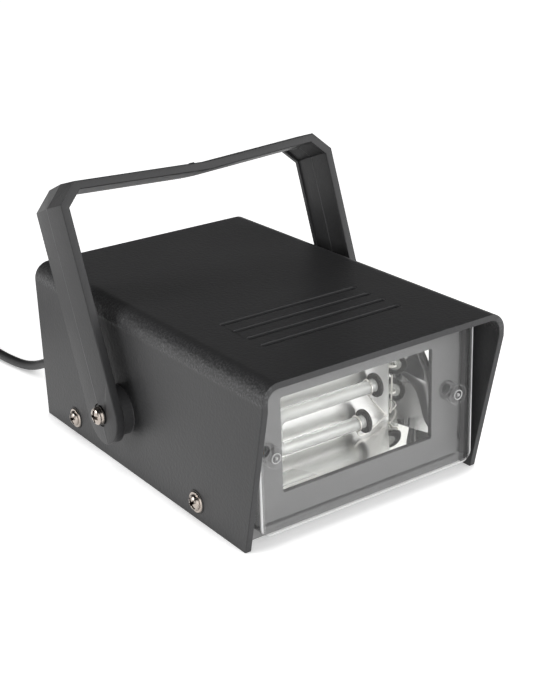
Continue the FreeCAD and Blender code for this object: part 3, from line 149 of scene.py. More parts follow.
class Finish(Graph):
    """A surface finish. Its patterns lie on Object coordinates, in metres."""

    def __init__(self, name):
        self.material = bpy.data.materials.new(name)
        self.material.use_nodes = True
        super().__init__(self.material.node_tree)
        self.place = self.node("ShaderNodeTexCoord", out="Object")
        self.normal = None

    def axis(self, name):
        return self.node("ShaderNodeSeparateXYZ", {}, [self.place], out=name)

    def noise(self, grain, detail, roughness=0.5, place=None):
        """Soft noise from 0 to 1 whose blotches are about one grain across."""
        return self.node("ShaderNodeTexNoise", {}, {
            "Vector": place or self.place, "Scale": 0.5 / grain, "Detail": detail, "Roughness": roughness,
        })

    def cells(self, grain):
        """Rounded cells about one grain across, as on grained leather."""
        return self.node("ShaderNodeTexVoronoi", {"feature": "SMOOTH_F1"}, {
            "Vector": self.place, "Scale": 0.7 / grain,
        })

    def stretched(self, x, y, z):
        """The place with each axis scaled, for patterns that run one way."""
        return self.node("ShaderNodeVectorMath", {"operation": "MULTIPLY"}, [self.place, (x, y, z)])

    def blend(self, factor, first, second):
        """The first colour where the factor is 0 and the second where it is 1. Either may be a plain tone."""
        first, second = (side if isinstance(side, Level) else (*side, 1.0) for side in (first, second))
        return self.node("ShaderNodeMix", {"data_type": "RGBA"}, {0: factor, 6: first, 7: second}, out=2)

    def tinted(self, tone, level, spread):
        """A tone made darker and lighter by a level round one half."""
        return self.blend(level, times(tone, 1 - spread), times(tone, 1 + spread))

    def bump(self, height, depth):
        """Relief for the shaders that are made after it."""
        self.normal = self.node("ShaderNodeBump", {}, {"Height": height, "Distance": depth, "Strength": 1.0})

    def surface(self, **values):
        """The shader of the finish, with socket names written with underscores."""
        sockets = {}
        for name, value in values.items():
            sockets[name.replace("_", " ").title().replace("Ior", "IOR")] = value
        if self.normal:
            sockets["Normal"] = self.normal
        return self.node("ShaderNodeBsdfPrincipled", {}, sockets)

    def done(self, shader):
        self.node("ShaderNodeOutputMaterial", {}, {"Surface": shader})
        return self.material


class Pattern(Graph):
    """A geometry tree whose sizes are its named inputs. It grows one painted mesh."""

    def __init__(self, name, **sizes):
        super().__init__(bpy.data.node_groups.new(name, "GeometryNodeTree"))
        sides = self.tree.interface
        sides.new_socket("Geometry", in_out="OUTPUT", socket_type="NodeSocketGeometry")
        self.values = {}
        for label, value in sizes.items():
            kind = {int: "NodeSocketInt", float: "NodeSocketFloat"}.get(type(value), "NodeSocketVector")
            socket = sides.new_socket(label, in_out="INPUT", socket_type=kind)
            self.values[socket.identifier] = value
        self.entry = self.tree.nodes.new("NodeGroupInput")

    def given(self, *labels):
        """The level of a named input, or of each of several."""
        levels = [Level(self, self.entry.outputs[label]) for label in labels]
        return levels if len(levels) > 1 else levels[0]

    def vector(self, x=0.0, y=0.0, z=0.0):
        return self.node("ShaderNodeCombineXYZ", {}, [x, y, z])

    def join(self, *parts):
        return self.node("GeometryNodeJoinGeometry", {}, [list(parts)])

    def moved(self, geometry, spot=(0, 0, 0), turn=(0, 0, 0), scale=(1, 1, 1)):
        return self.node("GeometryNodeTransform", {}, {
            "Geometry": geometry, "Translation": spot, "Rotation": turn, "Scale": scale,
        })

    def united(self, *parts):
        return self.node("GeometryNodeMeshBoolean", {"operation": "UNION", "solver": "EXACT"}, {
            "Mesh 2": list(parts),
        })

    def carved(self, solid, *tools):
        return self.node("GeometryNodeMeshBoolean", {"operation": "DIFFERENCE", "solver": "EXACT"}, {
            "Mesh 1": solid, "Mesh 2": list(tools),
        })

    def on_points(self, points, instance, turn=(0, 0, 0), scale=(1, 1, 1)):
        return self.node("GeometryNodeInstanceOnPoints", {}, {
            "Points": points, "Instance": instance, "Rotation": turn, "Scale": scale,
        })

    def row(self, instance, count, start, step, facing=(0, 0, 0), seed=None):
        """Copies in a row, each turned about its own axis by chance if a seed is given."""
        line = self.node("GeometryNodeMeshLine", {}, {
            "Count": count, "Start Location": start, "Offset": step,
        })
        placed = self.on_points(line, instance, facing)
        if seed is None:
            return placed
        chance = self.node("FunctionNodeRandomValue", {}, {2: 0.0, 3: math.pi, 8: seed}, out=1)
        return self.node("GeometryNodeRotateInstances", {}, {
            "Instances": placed, "Rotation": self.vector(z=chance), "Local Space": True,
        })

    def cube(self, x, y, z):
        return self.moved(self.node("GeometryNodeMeshCube"), scale=self.vector(x, y, z))

    def ring(self, radius, thick, steps=48, sides=8):
        """A closed round ring about Z."""
        path, section = (
            self.node("GeometryNodeCurvePrimitiveCircle", {}, {"Resolution": count, "Radius": size})
            for count, size in ((steps, radius), (sides, thick)))
        return self.node("GeometryNodeCurveToMesh", {}, {"Curve": path, "Profile Curve": section})

    def grown(self, name, geometry, material):
        """The tree's mesh as a plain piece."""
        whole = self.node("GeometryNodeRealizeInstances", {}, [geometry])
        painted = self.node("GeometryNodeSetMaterial", {}, {"Geometry": whole, "Material": material})
        self.node("NodeGroupOutput", {}, [painted])
        piece = new_piece(name, bpy.data.meshes.new(name))
        growth = piece.modifiers.new("Growth", "NODES")
        growth.node_group = self.tree
        for identifier, value in self.values.items():
            growth[identifier] = value
        return plain_mesh(piece)


# ---------------------------------------------------------------- finishes


def grained_plastic(name, tone, grain=0.9 * MM, depth=0.12 * MM, corner=None, ridge_highlight=None):
    """Moulded plastic with a fine leather-like grain.

    Past a corner's half width and height, where the long edges are round, the grain is deeper and has pale
    flecks, which are painted highlights, as of light glinting on the grain there. The ridge highlight is a
    pale line painted along the ridge where the mould's halves meet, as light catching that ridge: it is given
    as a place along Y and a height that its plane goes through, and how far that plane leans back.
    """
    finish = Finish(name)
    pebble = finish.cells(grain)
    dust = finish.noise(0.35 * MM, 2)
    patch = finish.noise(26 * MM, 3)
    relief = pebble * 0.7 + dust * 0.3
    color = finish.tinted(tone, pebble * 0.45 + dust * 0.25 + patch * 0.3, 0.14)
    gloss = (patch - 0.5) * 0.12 + dust * 0.08 + 0.42
    if corner:
        wide, high = corner
        beside = finish.axis("X").size().rise(wide, wide + 2.5 * MM)
        above = finish.axis("Z").rise(high, high + 2 * MM)
        bend = beside * above
        # Painted highlight: pale flecks on the round edges, as glints of light on the grain.
        painted_glint = bend * finish.noise(0.4 * MM, 1).rise(0.42, 0.66)
        relief = relief * (bend * 1.4 + 1)
        color = finish.blend(painted_glint * 0.6, color, times(tone, 2.4))
        gloss = gloss - painted_glint * 0.12
    if ridge_highlight:
        along, up, lean = ridge_highlight
        offset = (finish.axis("Y") - along) * math.cos(lean) - (finish.axis("Z") - up) * math.sin(lean)
        # Painted highlight: a pale line along the ridge where the mould's halves meet, as light catching it.
        line = offset.size().rise(0.22 * MM, 0.42 * MM, 1.0, 0.0)
        relief = relief + line * 1.5
        color = finish.blend(line * 0.6, color, times(tone, 4))
    finish.bump(relief, depth)
    return finish.done(finish.surface(base_color=color, roughness=gloss, specular_ior_level=0.36))


def plain_plastic(name, tone, rough):
    """Smooth moulded plastic with faint flow marks."""
    finish = Finish(name)
    patch = finish.noise(9 * MM, 3)
    fine = finish.noise(0.5 * MM, 2)
    finish.bump(patch * 0.5 + fine * 0.5, 0.012 * MM)
    return finish.done(finish.surface(
        base_color=finish.tinted(tone, patch, 0.06), roughness=(fine - 0.5) * 0.15 + rough))


def plated_metal(name, tone, rough, recess_shade=0.0):
    """Plated metal with fine scratches and faint stains, and painted shade that darkens its recesses if a
    reach is given.
    """
    finish = Finish(name)
    stain = finish.noise(2.2 * MM, 3)
    line = finish.noise(0.25 * MM, 3, place=finish.stretched(1.0, 0.18, 1.0))
    finish.bump(line, 0.004 * MM)
    color = finish.tinted(tone, stain, 0.12)
    if recess_shade:
        # Painted shade: the colour goes near black where ambient occlusion finds the metal hemmed in, as in a
        # screw's cross and round its flange.
        open_face = finish.node("ShaderNodeAmbientOcclusion", {"samples": 8, "only_local": True}, {
            "Distance": recess_shade}, out="AO")
        color = finish.blend(open_face.rise(0.45, 0.85), (0.015, 0.012, 0.01), color)
    return finish.done(finish.surface(
        base_color=color, metallic=1.0, roughness=(stain - 0.5) * 0.2 + line * 0.1 + rough))


def tray_plastic(name, tone, front_tone):
    """Moulded plastic, with a paler cloudy coat on the face that frames the window behind the plate."""
    finish = Finish(name)
    dust = finish.noise(0.35 * MM, 2)
    cloud = finish.noise(11 * MM, 4, 0.6)
    finish.bump(dust, 0.03 * MM)
    front = finish.axis("Y").rise(FRAME_FACE + 0.3 * MM, FRAME_FACE + 0.5 * MM, 1.0, 0.0)
    within = finish.axis("X").size().rise(FRAME_SIDE - 0.3 * MM, FRAME_SIDE, 1.0, 0.0)
    above = finish.axis("Z").rise(FRAME_BOTTOM, FRAME_BOTTOM + 0.3 * MM)
    plain = finish.tinted(tone, dust, 0.1)
    coat = finish.tinted(front_tone, cloud * 0.8 + dust * 0.2, 0.16)
    return finish.done(finish.surface(
        base_color=finish.blend(front * within * above, plain, coat), roughness=cloud * 0.12 + 0.42,
        specular_ior_level=0.5))


def front_plastic(name):
    """Thin clear plastic for the front plate, frosted round its border.

    Its outermost edges are painted pale as a highlight, its side walls are painted dark as shade, and a ring
    shows where each peg stands.
    """
    finish = Finish(name)
    across, along, up = (finish.axis(letter) for letter in "XYZ")
    haze = finish.noise(7 * MM, 3)
    border = (across.size() - PLATE_SIDE).most(PLATE_BOTTOM - up).most(up - PLATE_TOP)
    near = along.rise(PLATE_FRONT + 0.9 * MM, PLATE_FRONT + 1.3 * MM, 1.0, 0.0)
    # Painted highlight: the outermost edges are pale and nearly opaque, as light catching them.
    edge = border.rise(-1.1 * MM, -0.8 * MM) * near
    frost = border.rise(-2.4 * MM, -1.7 * MM) * (near * 0.25 + 0.02)
    side, rise = across.size() - PEG_SIDE, up - PEG_HEIGHT
    far = (side * side + rise * rise).root()
    collar = far.rise(3.9 * MM, 4.2 * MM) * far.rise(4.6 * MM, 4.9 * MM, 1.0, 0.0)
    # Painted shade: the side walls are near black and half opaque, as the shade beside the plate.
    wall = across.size().rise(PLATE_SIDE - 1.4 * MM, PLATE_SIDE - 1.2 * MM) * (1 - near)
    color = finish.blend(edge, finish.tinted(grey(0.56), haze, 0.08), grey(0.86))
    cloud = collar * 0.14 + haze * 0.03 + 0.04
    return finish.done(finish.surface(
        base_color=finish.blend(wall, color, grey(0.06)), roughness=haze.rise(0.4, 0.8, 0.05, 0.2),
        specular_ior_level=0.6, alpha=(edge * 0.9).most(frost).most(wall * 0.5).most(cloud)))


def mirror_finish(name):
    """Bright sheet, satin on its back wall and its floor, and polished at its sides and in its corners."""
    finish = Finish(name)
    across, along = finish.axis("X"), finish.axis("Y")
    back = along.rise(MIRROR_BACK - 0.6 * MM, MIRROR_BACK - 0.2 * MM)
    outside = across.size() - (along - MIRROR_BACK) * 0.78 - MIRROR_BACK_WIDE
    floor = outside.rise(-0.3 * MM, 0.0, 1.0, 0.0)
    streak = finish.noise(3 * MM, 3, place=finish.stretched(0.25, 1.0, 1.0))
    finish.bump(streak, 0.0015 * MM)
    return finish.done(finish.surface(
        base_color=finish.tinted((0.93, 0.93, 0.915), streak, 0.03), metallic=1.0,
        roughness=(back * 0.3).most(floor * 0.24) + streak.rise(0.3, 0.8, 0.015, 0.03)))


def milky_glass(name):
    """Glass clouded on its inside."""
    finish = Finish(name)
    cloud = finish.noise(5 * MM, 3, place=finish.stretched(0.3, 1.0, 1.0))
    clear = finish.surface(
        base_color=(0.98, 0.99, 0.99, 1.0), transmission_weight=1.0, ior=1.45, roughness=0.04)
    white = finish.surface(base_color=finish.tinted((0.86, 0.87, 0.84), cloud, 0.06), roughness=0.2)
    return finish.done(finish.node("ShaderNodeMixShader", {}, [
        cloud.rise(0.3, 0.75, 0.30, 0.55), clear, white]))


def striped_sleeve(name, tone, mark, middle, radius, top):
    """A can's shrunk sleeve with one pale stripe, open over the metal at its top."""
    finish = Finish(name)
    across, up = finish.axis("X"), finish.axis("Z")
    fine = finish.noise(0.6 * MM, 2)
    stripe = (across - (middle + 0.72 * radius)).size().rise(0.16 * radius, 0.19 * radius, 1.0, 0.0)
    bare = up.rise(top - 0.25 * MM, top - 0.05 * MM)
    color = finish.blend(bare, finish.blend(stripe, tone, mark), grey(0.62))
    return finish.done(finish.surface(base_color=color, metallic=bare, roughness=fine * 0.15 + 0.22))


def banded(name, axis, middle, half, inner, outer):
    """One colour within half a width of a middle along an axis, and bright metal outside it."""
    finish = Finish(name)
    fine = finish.noise(0.5 * MM, 2)
    ends = (finish.axis(axis) - middle).size().rise(half - 0.1 * MM, half + 0.1 * MM)
    return finish.done(finish.surface(
        base_color=finish.blend(ends, inner, outer), metallic=ends, roughness=fine * 0.1 + 0.12))


def track_board(name, tone, track):
    """A circuit board's lacquer over faint copper tracks."""
    finish = Finish(name)
    black, white = (*grey(0.0), 1.0), (*grey(1.0), 1.0)
    grid = finish.node("ShaderNodeTexBrick", {"offset": 0.37, "squash": 1.6, "squash_frequency": 3}, {
        "Vector": finish.place, "Scale": 90.0, "Mortar Size": 0.035, "Color1": black, "Color2": black,
        "Mortar": white}, out="Color")
    weave = finish.noise(0.5 * MM, 2)
    finish.bump(grid, 0.03 * MM)
    return finish.done(finish.surface(
        base_color=finish.blend(grid, tone, track), roughness=weave * 0.1 + 0.28, coat_weight=0.3))


# ---------------------------------------------------------------- pieces

# Vertices this close are one, and faces this near to flat are one.
SEAM_GAP = 0.002 * MM
FLAT_ANGLE = math.radians(0.5)
# Edges sharper than this many degrees are crisp.
CREASE = 30


def new_piece(name, mesh):
    piece = bpy.data.objects.new(name, mesh)
    bpy.context.scene.collection.objects.link(piece)
    return piece


def paint(piece, material):
    piece.data.materials.clear()
    piece.data.materials.append(material)


def shade(mesh, angle):
    """Smooth shading with every edge sharper than the angle kept crisp."""
    mesh.polygons.foreach_set("use_smooth", [True] * len(mesh.polygons))
    mesh.set_sharp_from_angle(angle=math.radians(angle))


def plain_mesh(piece):
    """Apply the piece's modifiers, so that only its mesh is left."""
    depsgraph = bpy.context.evaluated_depsgraph_get()
    mesh = bpy.data.meshes.new_from_object(piece.evaluated_get(depsgraph))
    piece.modifiers.clear()
    piece.data = mesh
    return piece


def rounded(piece, edge, crease=CREASE):
    """Round the piece's sharp edges, with its flat faces still shaded flat."""
    piece.data.polygons.foreach_set("use_smooth", [True] * len(piece.data.polygons))
    bevel = piece.modifiers.new("Edges", "BEVEL")
    bevel.width = edge
    bevel.segments = 2
    bevel.limit_method = "ANGLE"
    bevel.angle_limit = math.radians(crease)
    bevel.use_clamp_overlap = False
    even = piece.modifiers.new("Flats", "WEIGHTED_NORMAL")
    even.mode = "FACE_AREA"
    even.weight = 100
    even.keep_sharp = False
    plain_mesh(piece)


def dressed(node, name, material, body="housing", edge=0.0):
    """A copy of a CAD node with merged faces and rounded edges, which stands for the node."""
    mesh = frame["nodes"][node].data.copy()
    work = bmesh.new()
    work.from_mesh(mesh)
    bmesh.ops.remove_doubles(work, verts=work.verts, dist=SEAM_GAP)
    bmesh.ops.dissolve_limit(work, angle_limit=FLAT_ANGLE, verts=work.verts, edges=work.edges)
    work.to_mesh(mesh)
    work.free()
    piece = new_piece(name, mesh)
    if edge:
        rounded(piece, edge)
    else:
        shade(piece.data, CREASE)
    return settled(piece, material, body, slot_of(node), node)


def settled(piece, material, body, slot, *nodes):
    """Paint a piece, hang it on the body it rides on, and hide the CAD nodes that it stands for."""
    paint(piece, material)
    if nodes:
        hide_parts(*nodes)
    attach(piece, body)
    return piece


def slot_of(node):
    slots = {row["node"]: row["material_slot"] for row in frame["record"]["subparts"]}
    return slots[node]


def tube_curve(name, points, radius):
    """A round NURBS tube whose control points are given."""
    curve = bpy.data.curves.new(name, "CURVE")
    curve.dimensions = "3D"
    curve.bevel_depth = radius
    curve.bevel_resolution = 5
    curve.resolution_u = 6
    curve.use_fill_caps = True
    spline = curve.splines.new("NURBS")
    spline.points.add(len(points) - 1)
    for point, spot in zip(spline.points, points):
        point.co = (*spot, 1.0)
    spline.order_u = 3
    spline.use_endpoint_u = True
    return new_piece(name, curve)


def make_trough(material):
    """The reflector's sheet. Its side walls are bent a little out of flat, as thin sheet is."""
    middle, sheet, lip_wide, lip_high = 39.75 * MM, 0.6 * MM, 1.6 * MM, 3 * MM
    mouth_wide, mouth_high, back_high = 43.655 * MM, 21.25 * MM, 18.15 * MM
    depth_steps, height_steps, bow = 24, 16, 1.061
    swell_reach, swell_even, swell_tilt, swell_curl = 20 * MM, 0.068 * MM, 0.493 * MM, 0.477 * MM

    spots, faces = [], []

    def add_ring(wide, high, along, share=0.0):
        """A loop of points up the right side wall and down the left one."""
        start, bend = len(spots), 4 * share * (1 - share)
        for side in (1, -1):
            for step in range(height_steps + 1):
                z = side * high * (2 * step / height_steps - 1)
                level = z / swell_reach
                swell = swell_even * (1 - level * level) + swell_tilt * level + swell_curl * level ** 3
                spots.append((side * (wide + bend * swell), along, middle + z))
        return start

    def wall_rings(grow):
        for step in range(depth_steps + 1):
            share = step / depth_steps
            yield add_ring(mouth_wide + (MIRROR_BACK_WIDE - mouth_wide) * share ** bow + grow,
                           mouth_high + (back_high - mouth_high) * share + grow,
                           MIRROR_MOUTH + (MIRROR_BACK - MIRROR_MOUTH + grow) * share, share)

    inner, outer = list(wall_rings(0.0)), list(wall_rings(sheet))
    wide, high = mouth_wide + sheet, mouth_high + sheet
    lip = [add_ring(wide + lip_wide, mouth_high + lip_high, MIRROR_MOUTH),
           add_ring(wide + lip_wide, mouth_high + lip_high, MIRROR_MOUTH + sheet),
           add_ring(wide, high, MIRROR_MOUTH + sheet)]
    path = inner[::-1] + lip + outer[1:]
    count = 2 * (height_steps + 1)
    for first, second in zip(path, path[1:]):
        for spot in range(count):
            after = (spot + 1) % count
            faces.append((first + spot, first + after, second + after, second + spot))
    faces.append(tuple(inner[-1] + spot for spot in range(count)))
    faces.append(tuple(outer[-1] + spot for spot in reversed(range(count))))
    mesh = bpy.data.meshes.new("mirror_trough")
    mesh.from_pydata(spots, [], faces)
    work = bmesh.new()
    work.from_mesh(mesh)
    bmesh.ops.recalc_face_normals(work, faces=work.faces)
    work.to_mesh(mesh)
    work.free()
    piece = new_piece("mirror_trough", mesh)
    shade(mesh, 20)
    return settled(piece, material, "housing", "mirror_sheet", "reflector")


TO_RIGHT = (0.0, math.pi / 2, 0.0)
TO_LEFT = (0.0, -math.pi / 2, 0.0)


def both_sides(side, along, up):
    """Where a row starts on each side of the object, and which way its screws face."""
    return [((side, along, up), TO_RIGHT), ((-side, along, up), TO_LEFT)]


def make_screws(name, node, material, rows, count, step, sizes, seed):
    """Rows of cross-head screws, each domed head on its flange, with a deep cross."""
    tree = Pattern(name + "_tree", Count=count, Step=step, Seed=seed, **sizes)
    shank, length, flange, low, head, high = tree.given(
        "Shank", "Length", "Flange", "Flange height", "Head", "Head height")
    pin = tree.moved(tree.node("GeometryNodeMeshCylinder", {}, {
        "Vertices": 32, "Radius": shank, "Depth": length + low}), tree.vector(z=(length - low) * -0.5))
    rim = tree.node("GeometryNodeMeshCone", {}, {
        "Vertices": 48, "Radius Top": flange * 0.9, "Radius Bottom": flange, "Depth": low})
    ball = tree.node("GeometryNodeMeshUVSphere", {}, {"Segments": 48, "Rings": 24})
    ball = tree.moved(ball, tree.vector(z=low), scale=tree.vector(head, head, high))
    below = tree.moved(tree.cube(head * 4, head * 4, head * 2), tree.vector(z=low * 0.5 - head))
    bar = tree.cube(head * 1.45, head * 0.36, high * 1.9)
    cross = [tree.moved(bar, tree.vector(z=low + high), (0, 0, angle)) for angle in (0.0, math.pi / 2)]
    screw = tree.carved(tree.united(pin, rim, tree.carved(ball, below)), *cross)
    placed = []
    for number, (start, facing) in enumerate(rows):
        turned = tree.given("Seed") + number
        placed.append(tree.row(screw, tree.given("Count"), start, tree.given("Step"), facing, turned))
    piece = tree.grown(name, tree.join(*placed), material)
    rounded(piece, 0.1 * MM, 40)
    return settled(piece, material, "housing", slot_of(node), node)


def make_flange_shade_rings(material, rows, count, step):
    """A thin dark ring under each side screw's flange, put there as painted shade round it."""
    tree = Pattern("seal_tree", Count=count, Step=step, Radius=5.0 * MM, Thick=0.45 * MM)
    shade_ring = tree.ring(*tree.given("Radius", "Thick"))
    placed = [
        tree.row(shade_ring, tree.given("Count"), start, tree.given("Step"), facing) for start, facing in rows]
    piece = tree.grown("screw_flange_shade", tree.join(*placed), material)
    shade(piece.data, 60)
    return settled(piece, material, "housing", "grommet_rubber")


def make_peg_rings(material):
    """The raised ring and its middle dot on the front of each of the plate's pegs."""
    tree = Pattern("peg_ring_tree", Radius=2.1 * MM, Thick=0.3 * MM, Dot=0.8 * MM, Spacing=2 * PEG_SIDE)
    dot = tree.node("GeometryNodeMeshUVSphere", {}, {
        "Segments": 24, "Rings": 12, "Radius": tree.given("Dot")})
    eye = tree.join(tree.ring(*tree.given("Radius", "Thick")), dot)
    to_front = (math.pi / 2, 0.0, 0.0)
    first_peg = (-PEG_SIDE, PLATE_FRONT, PEG_HEIGHT)
    placed = tree.row(eye, 2, first_peg, tree.vector(tree.given("Spacing")), to_front)
    piece = tree.grown("peg_rings", placed, material)
    shade(piece.data, 60)
    return settled(piece, material, "housing", "clear_plastic")


def make_dial_marks(material):
    """Marks round the speed knob, longer as the flashes come faster."""
    tree = Pattern("dial_mark_tree", Count=11, Sweep=math.radians(300), Start=math.radians(120),
                   Radius=11.8 * MM, Width=0.5 * MM, Length=1.3 * MM, Thick=0.1 * MM)
    radius, count = tree.given("Radius", "Count")
    share = tree.node("GeometryNodeInputIndex") / (count - 1)
    angle = share * tree.given("Sweep") + tree.given("Start")
    line = tree.node("GeometryNodeMeshLine", {}, {"Count": count})
    spots = tree.node("GeometryNodeSetPosition", {}, {
        "Geometry": line, "Position": tree.vector(angle.cosine() * radius, angle.sine() * radius)})
    mark = tree.cube(*tree.given("Length", "Width", "Thick"))
    marks = tree.on_points(spots, mark, tree.vector(z=angle), tree.vector(share + 0.8, 1.0, 1.0))
    to_rear = (-math.pi / 2, 0, 0)
    placed = tree.moved(marks, KNOB_PLACE, to_rear)
    piece = tree.grown("dial_marks", placed, material)
    return settled(piece, material, "housing", "tray_plastic")


def make_windings(material):
    """The turns of fine wire on the ignition coil's bobbin."""
    first_turn = (31.1 * MM, -24 * MM, 12.9 * MM)
    tree = Pattern("winding_tree", Turns=17, Radius=4.9 * MM, Wire=0.26 * MM)
    radius, wire = tree.given("Radius", "Wire")
    turn = tree.ring(radius, wire, 32, 6)
    placed = tree.row(turn, tree.given("Turns"), first_turn, tree.vector(z=wire * 2))
    piece = tree.grown("ignition_winding", placed, material)
    shade(piece.data, 60)
    return settled(piece, material, "housing", "winding")


def make_plug_grips(material):
    """Grip ridges across the top of the plug."""
    first_ridge = (-107 * MM, 197 * MM, 13 * MM)
    tree = Pattern("grip_tree", Count=6, Pitch=2.4 * MM, Width=16.0 * MM, Thick=1.0 * MM, Rise=0.7 * MM)
    ridge = tree.cube(*tree.given("Width", "Thick", "Rise"))
    placed = tree.row(ridge, tree.given("Count"), first_ridge, tree.vector(y=tree.given("Pitch")))
    piece = tree.grown("plug_grips", placed, material)
    rounded(piece, 0.25 * MM)
    return settled(piece, material, "housing", "cord_sheath")


# ---------------------------------------------------------------- camera and cord


def make_camera():
    """The camera stands ahead of the housing, to its right as it faces forward, and looks down on it."""
    azimuth, elevation, roll = (math.radians(angle) for angle in (-34.46, 22.19, -2.12))
    away, aside, above = 0.64075, 0.00469, 0.04376
    back = Vector((math.sin(azimuth) * math.cos(elevation), -math.cos(azimuth) * math.cos(elevation),
                   math.sin(elevation)))
    level_right = Vector((0, 0, 1)).cross(back).normalized()
    level_up = back.cross(level_right)
    right = level_right * math.cos(roll) + level_up * math.sin(roll)
    up = level_up * math.cos(roll) - level_right * math.sin(roll)
    data = bpy.data.cameras.new("camera")
    data.lens = 69.91
    data.sensor_width = 36
    data.clip_start, data.clip_end = 0.01, 50
    camera = new_piece("camera", data)
    turn = Matrix((right, up, back)).transposed().to_4x4()
    camera.matrix_world = Matrix.Translation(back * away + right * aside + up * above) @ turn
    bpy.context.scene.camera = camera


# The cord's points are in millimetres, as its CAD solids' points are.
CORD_DIAMETER = 5.0 * MM
CORD_ROUTE = [
    (-44.0, 114.5, 13.0),
    (-44.0, 123.5, 13.0),
    (-44.2, 133.5, 9.8),
    (-45.2, 143.5, 5.2),
    (-47.2, 154.5, 2.6),
    (-49.5, 166.0, 2.55),
    (-50.8, 179.0, 2.55),
    (-50.3, 193.5, 2.55),
    (-47.5, 208.0, 2.55),
    (-43.0, 221.5, 2.55),
    (-39.0, 235.0, 2.55),
    (-37.0, 248.2, 2.55),
]
TAIL_ROUTE = [
    (-107.0, 248.2, 8.6),
    (-107.0, 238.5, 6.5),
    (-107.0, 229.0, 6.5),
]
COIL_MIDDLE = (-72.0, 262.0)
# Radius and height of each turn of the coil. The last one is the half turn that leaves it.
COIL_TURNS = [
    (34.6, 2.6), (29.5, 2.6), (24.4, 2.6), (27.0, 7.0), (32.1, 7.0), (29.4, 11.4), (24.4, 11.4), (34.5, 11.4),
]
POINTS_PER_TURN = 24
EASE_START = 0.7
# The curve runs a little inside its points.
POINT_SPREAD = 1.004


def coil_points():
    """The turns of the coil, each easing into the next over the last part of its way round."""
    spots = []
    count = int((len(COIL_TURNS) - 0.5) * POINTS_PER_TURN)
    for step in range(1, count):
        turn, part = divmod(step / POINTS_PER_TURN, 1.0)
        here = COIL_TURNS[int(turn)]
        after = COIL_TURNS[min(int(turn) + 1, len(COIL_TURNS) - 1)]
        ease = max(0.0, (part - EASE_START) / (1 - EASE_START))
        ease = ease * ease * (3 - 2 * ease)
        radius, height = (first + (second - first) * ease for first, second in zip(here, after))
        radius = radius * POINT_SPREAD
        angle = 2 * math.pi * step / POINTS_PER_TURN
        spots.append((COIL_MIDDLE[0] + radius * math.cos(angle), COIL_MIDDLE[1] + radius * math.sin(angle),
                      height))
    return spots


def make_cord(material):
    route = CORD_ROUTE + coil_points() + TAIL_ROUTE
    points = [tuple(value * MM for value in spot) for spot in route]
    cord = tube_curve("mains_cord", points, CORD_DIAMETER / 2)
    paint(cord, material)
    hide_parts("power_cord", "power_cord_coil", "power_cord_tail")
    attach(cord, "housing")


# ---------------------------------------------------------------- stage


def make_floor():
    """A pale floor that shows white and keeps the object's shadow."""
    reach, shadow_reach = 6.0, 18 * MM
    mesh = bpy.data.meshes.new("floor")
    corners = [(-reach, -reach, 0), (reach, -reach, 0), (reach, reach, 0), (-reach, reach, 0)]
    mesh.from_pydata(corners, [], [(0, 1, 2, 3)])
    floor = new_piece("floor", mesh)
    finish = Finish("pale_floor")
    cloth = finish.noise(30 * MM, 2)
    diffuse = finish.node("ShaderNodeBsdfDiffuse", {}, [finish.tinted(grey(0.86), cloth, 0.01)])
    seen = finish.ray("Camera").most(finish.ray("Glossy")).most(finish.ray("Transmission"))
    open_sky = finish.node("ShaderNodeAmbientOcclusion", {"samples": 8}, {"Distance": shadow_reach}, out="AO")
    glow = finish.node("ShaderNodeEmission", {}, {
        "Color": (1, 1, 1, 1), "Strength": seen * open_sky.rise(0.3, 0.85, 0.3, 0.97)})
    paint(floor, finish.done(finish.node("ShaderNodeAddShader", {}, [diffuse, glow])))


def make_surround():
    """A white surround that is dim overhead, and in mirrors white at the horizon and bright ahead."""
    world = bpy.data.worlds.new("surround")
    bpy.context.scene.world = world
    world.use_nodes = True
    graph = Graph(world.node_tree)
    way = graph.node("ShaderNodeTexCoord", out="Generated")
    height = graph.node("ShaderNodeSeparateXYZ", {}, [way], out="Z")
    ahead = 0 - graph.node("ShaderNodeSeparateXYZ", {}, [way], out="Y")
    glossy = graph.ray("Glossy")
    ambient = height.rise(0.1, 0.6, 0.5, 0.04)
    horizon = height.rise(0.0, 0.32, 1.0, 0.02)
    mirrored = horizon.most(ahead.rise(0.2, 0.6) * height.rise(0.5, 0.75, 1.9, 0.0))
    strength = (glossy * mirrored + (1 - glossy) * ambient).most(graph.ray("Camera"))
    shader = graph.node("ShaderNodeBackground", {}, {"Color": (1, 1, 1, 1), "Strength": strength})
    graph.node("ShaderNodeOutputWorld", {}, {"Surface": shader})


def make_lamps():
    """Soft lamps at the left, at the right and ahead. The one ahead leaves no glare on the plastic."""
    aim = Vector((0, 0, 0.04))
    for name, spot, size, power, glare in (
        ("lamp_left", (-0.95, 0.45, 0.4), 0.4, 3.9, True),
        ("lamp_right", (0.8, -0.9, 0.35), 0.6, 3.0, True),
        ("lamp_ahead", (-0.1, -1.05, 0.5), 0.6, 7.0, False),
    ):
        data = bpy.data.lights.new(name, "AREA")
        data.size = size
        data.energy = power
        lamp = new_piece(name, data)
        lamp.visible_glossy = glare
        lamp.location = spot
        lamp.rotation_euler = (aim - Vector(spot)).to_track_quat("-Z", "Y").to_euler()


# ---------------------------------------------------------------- making it


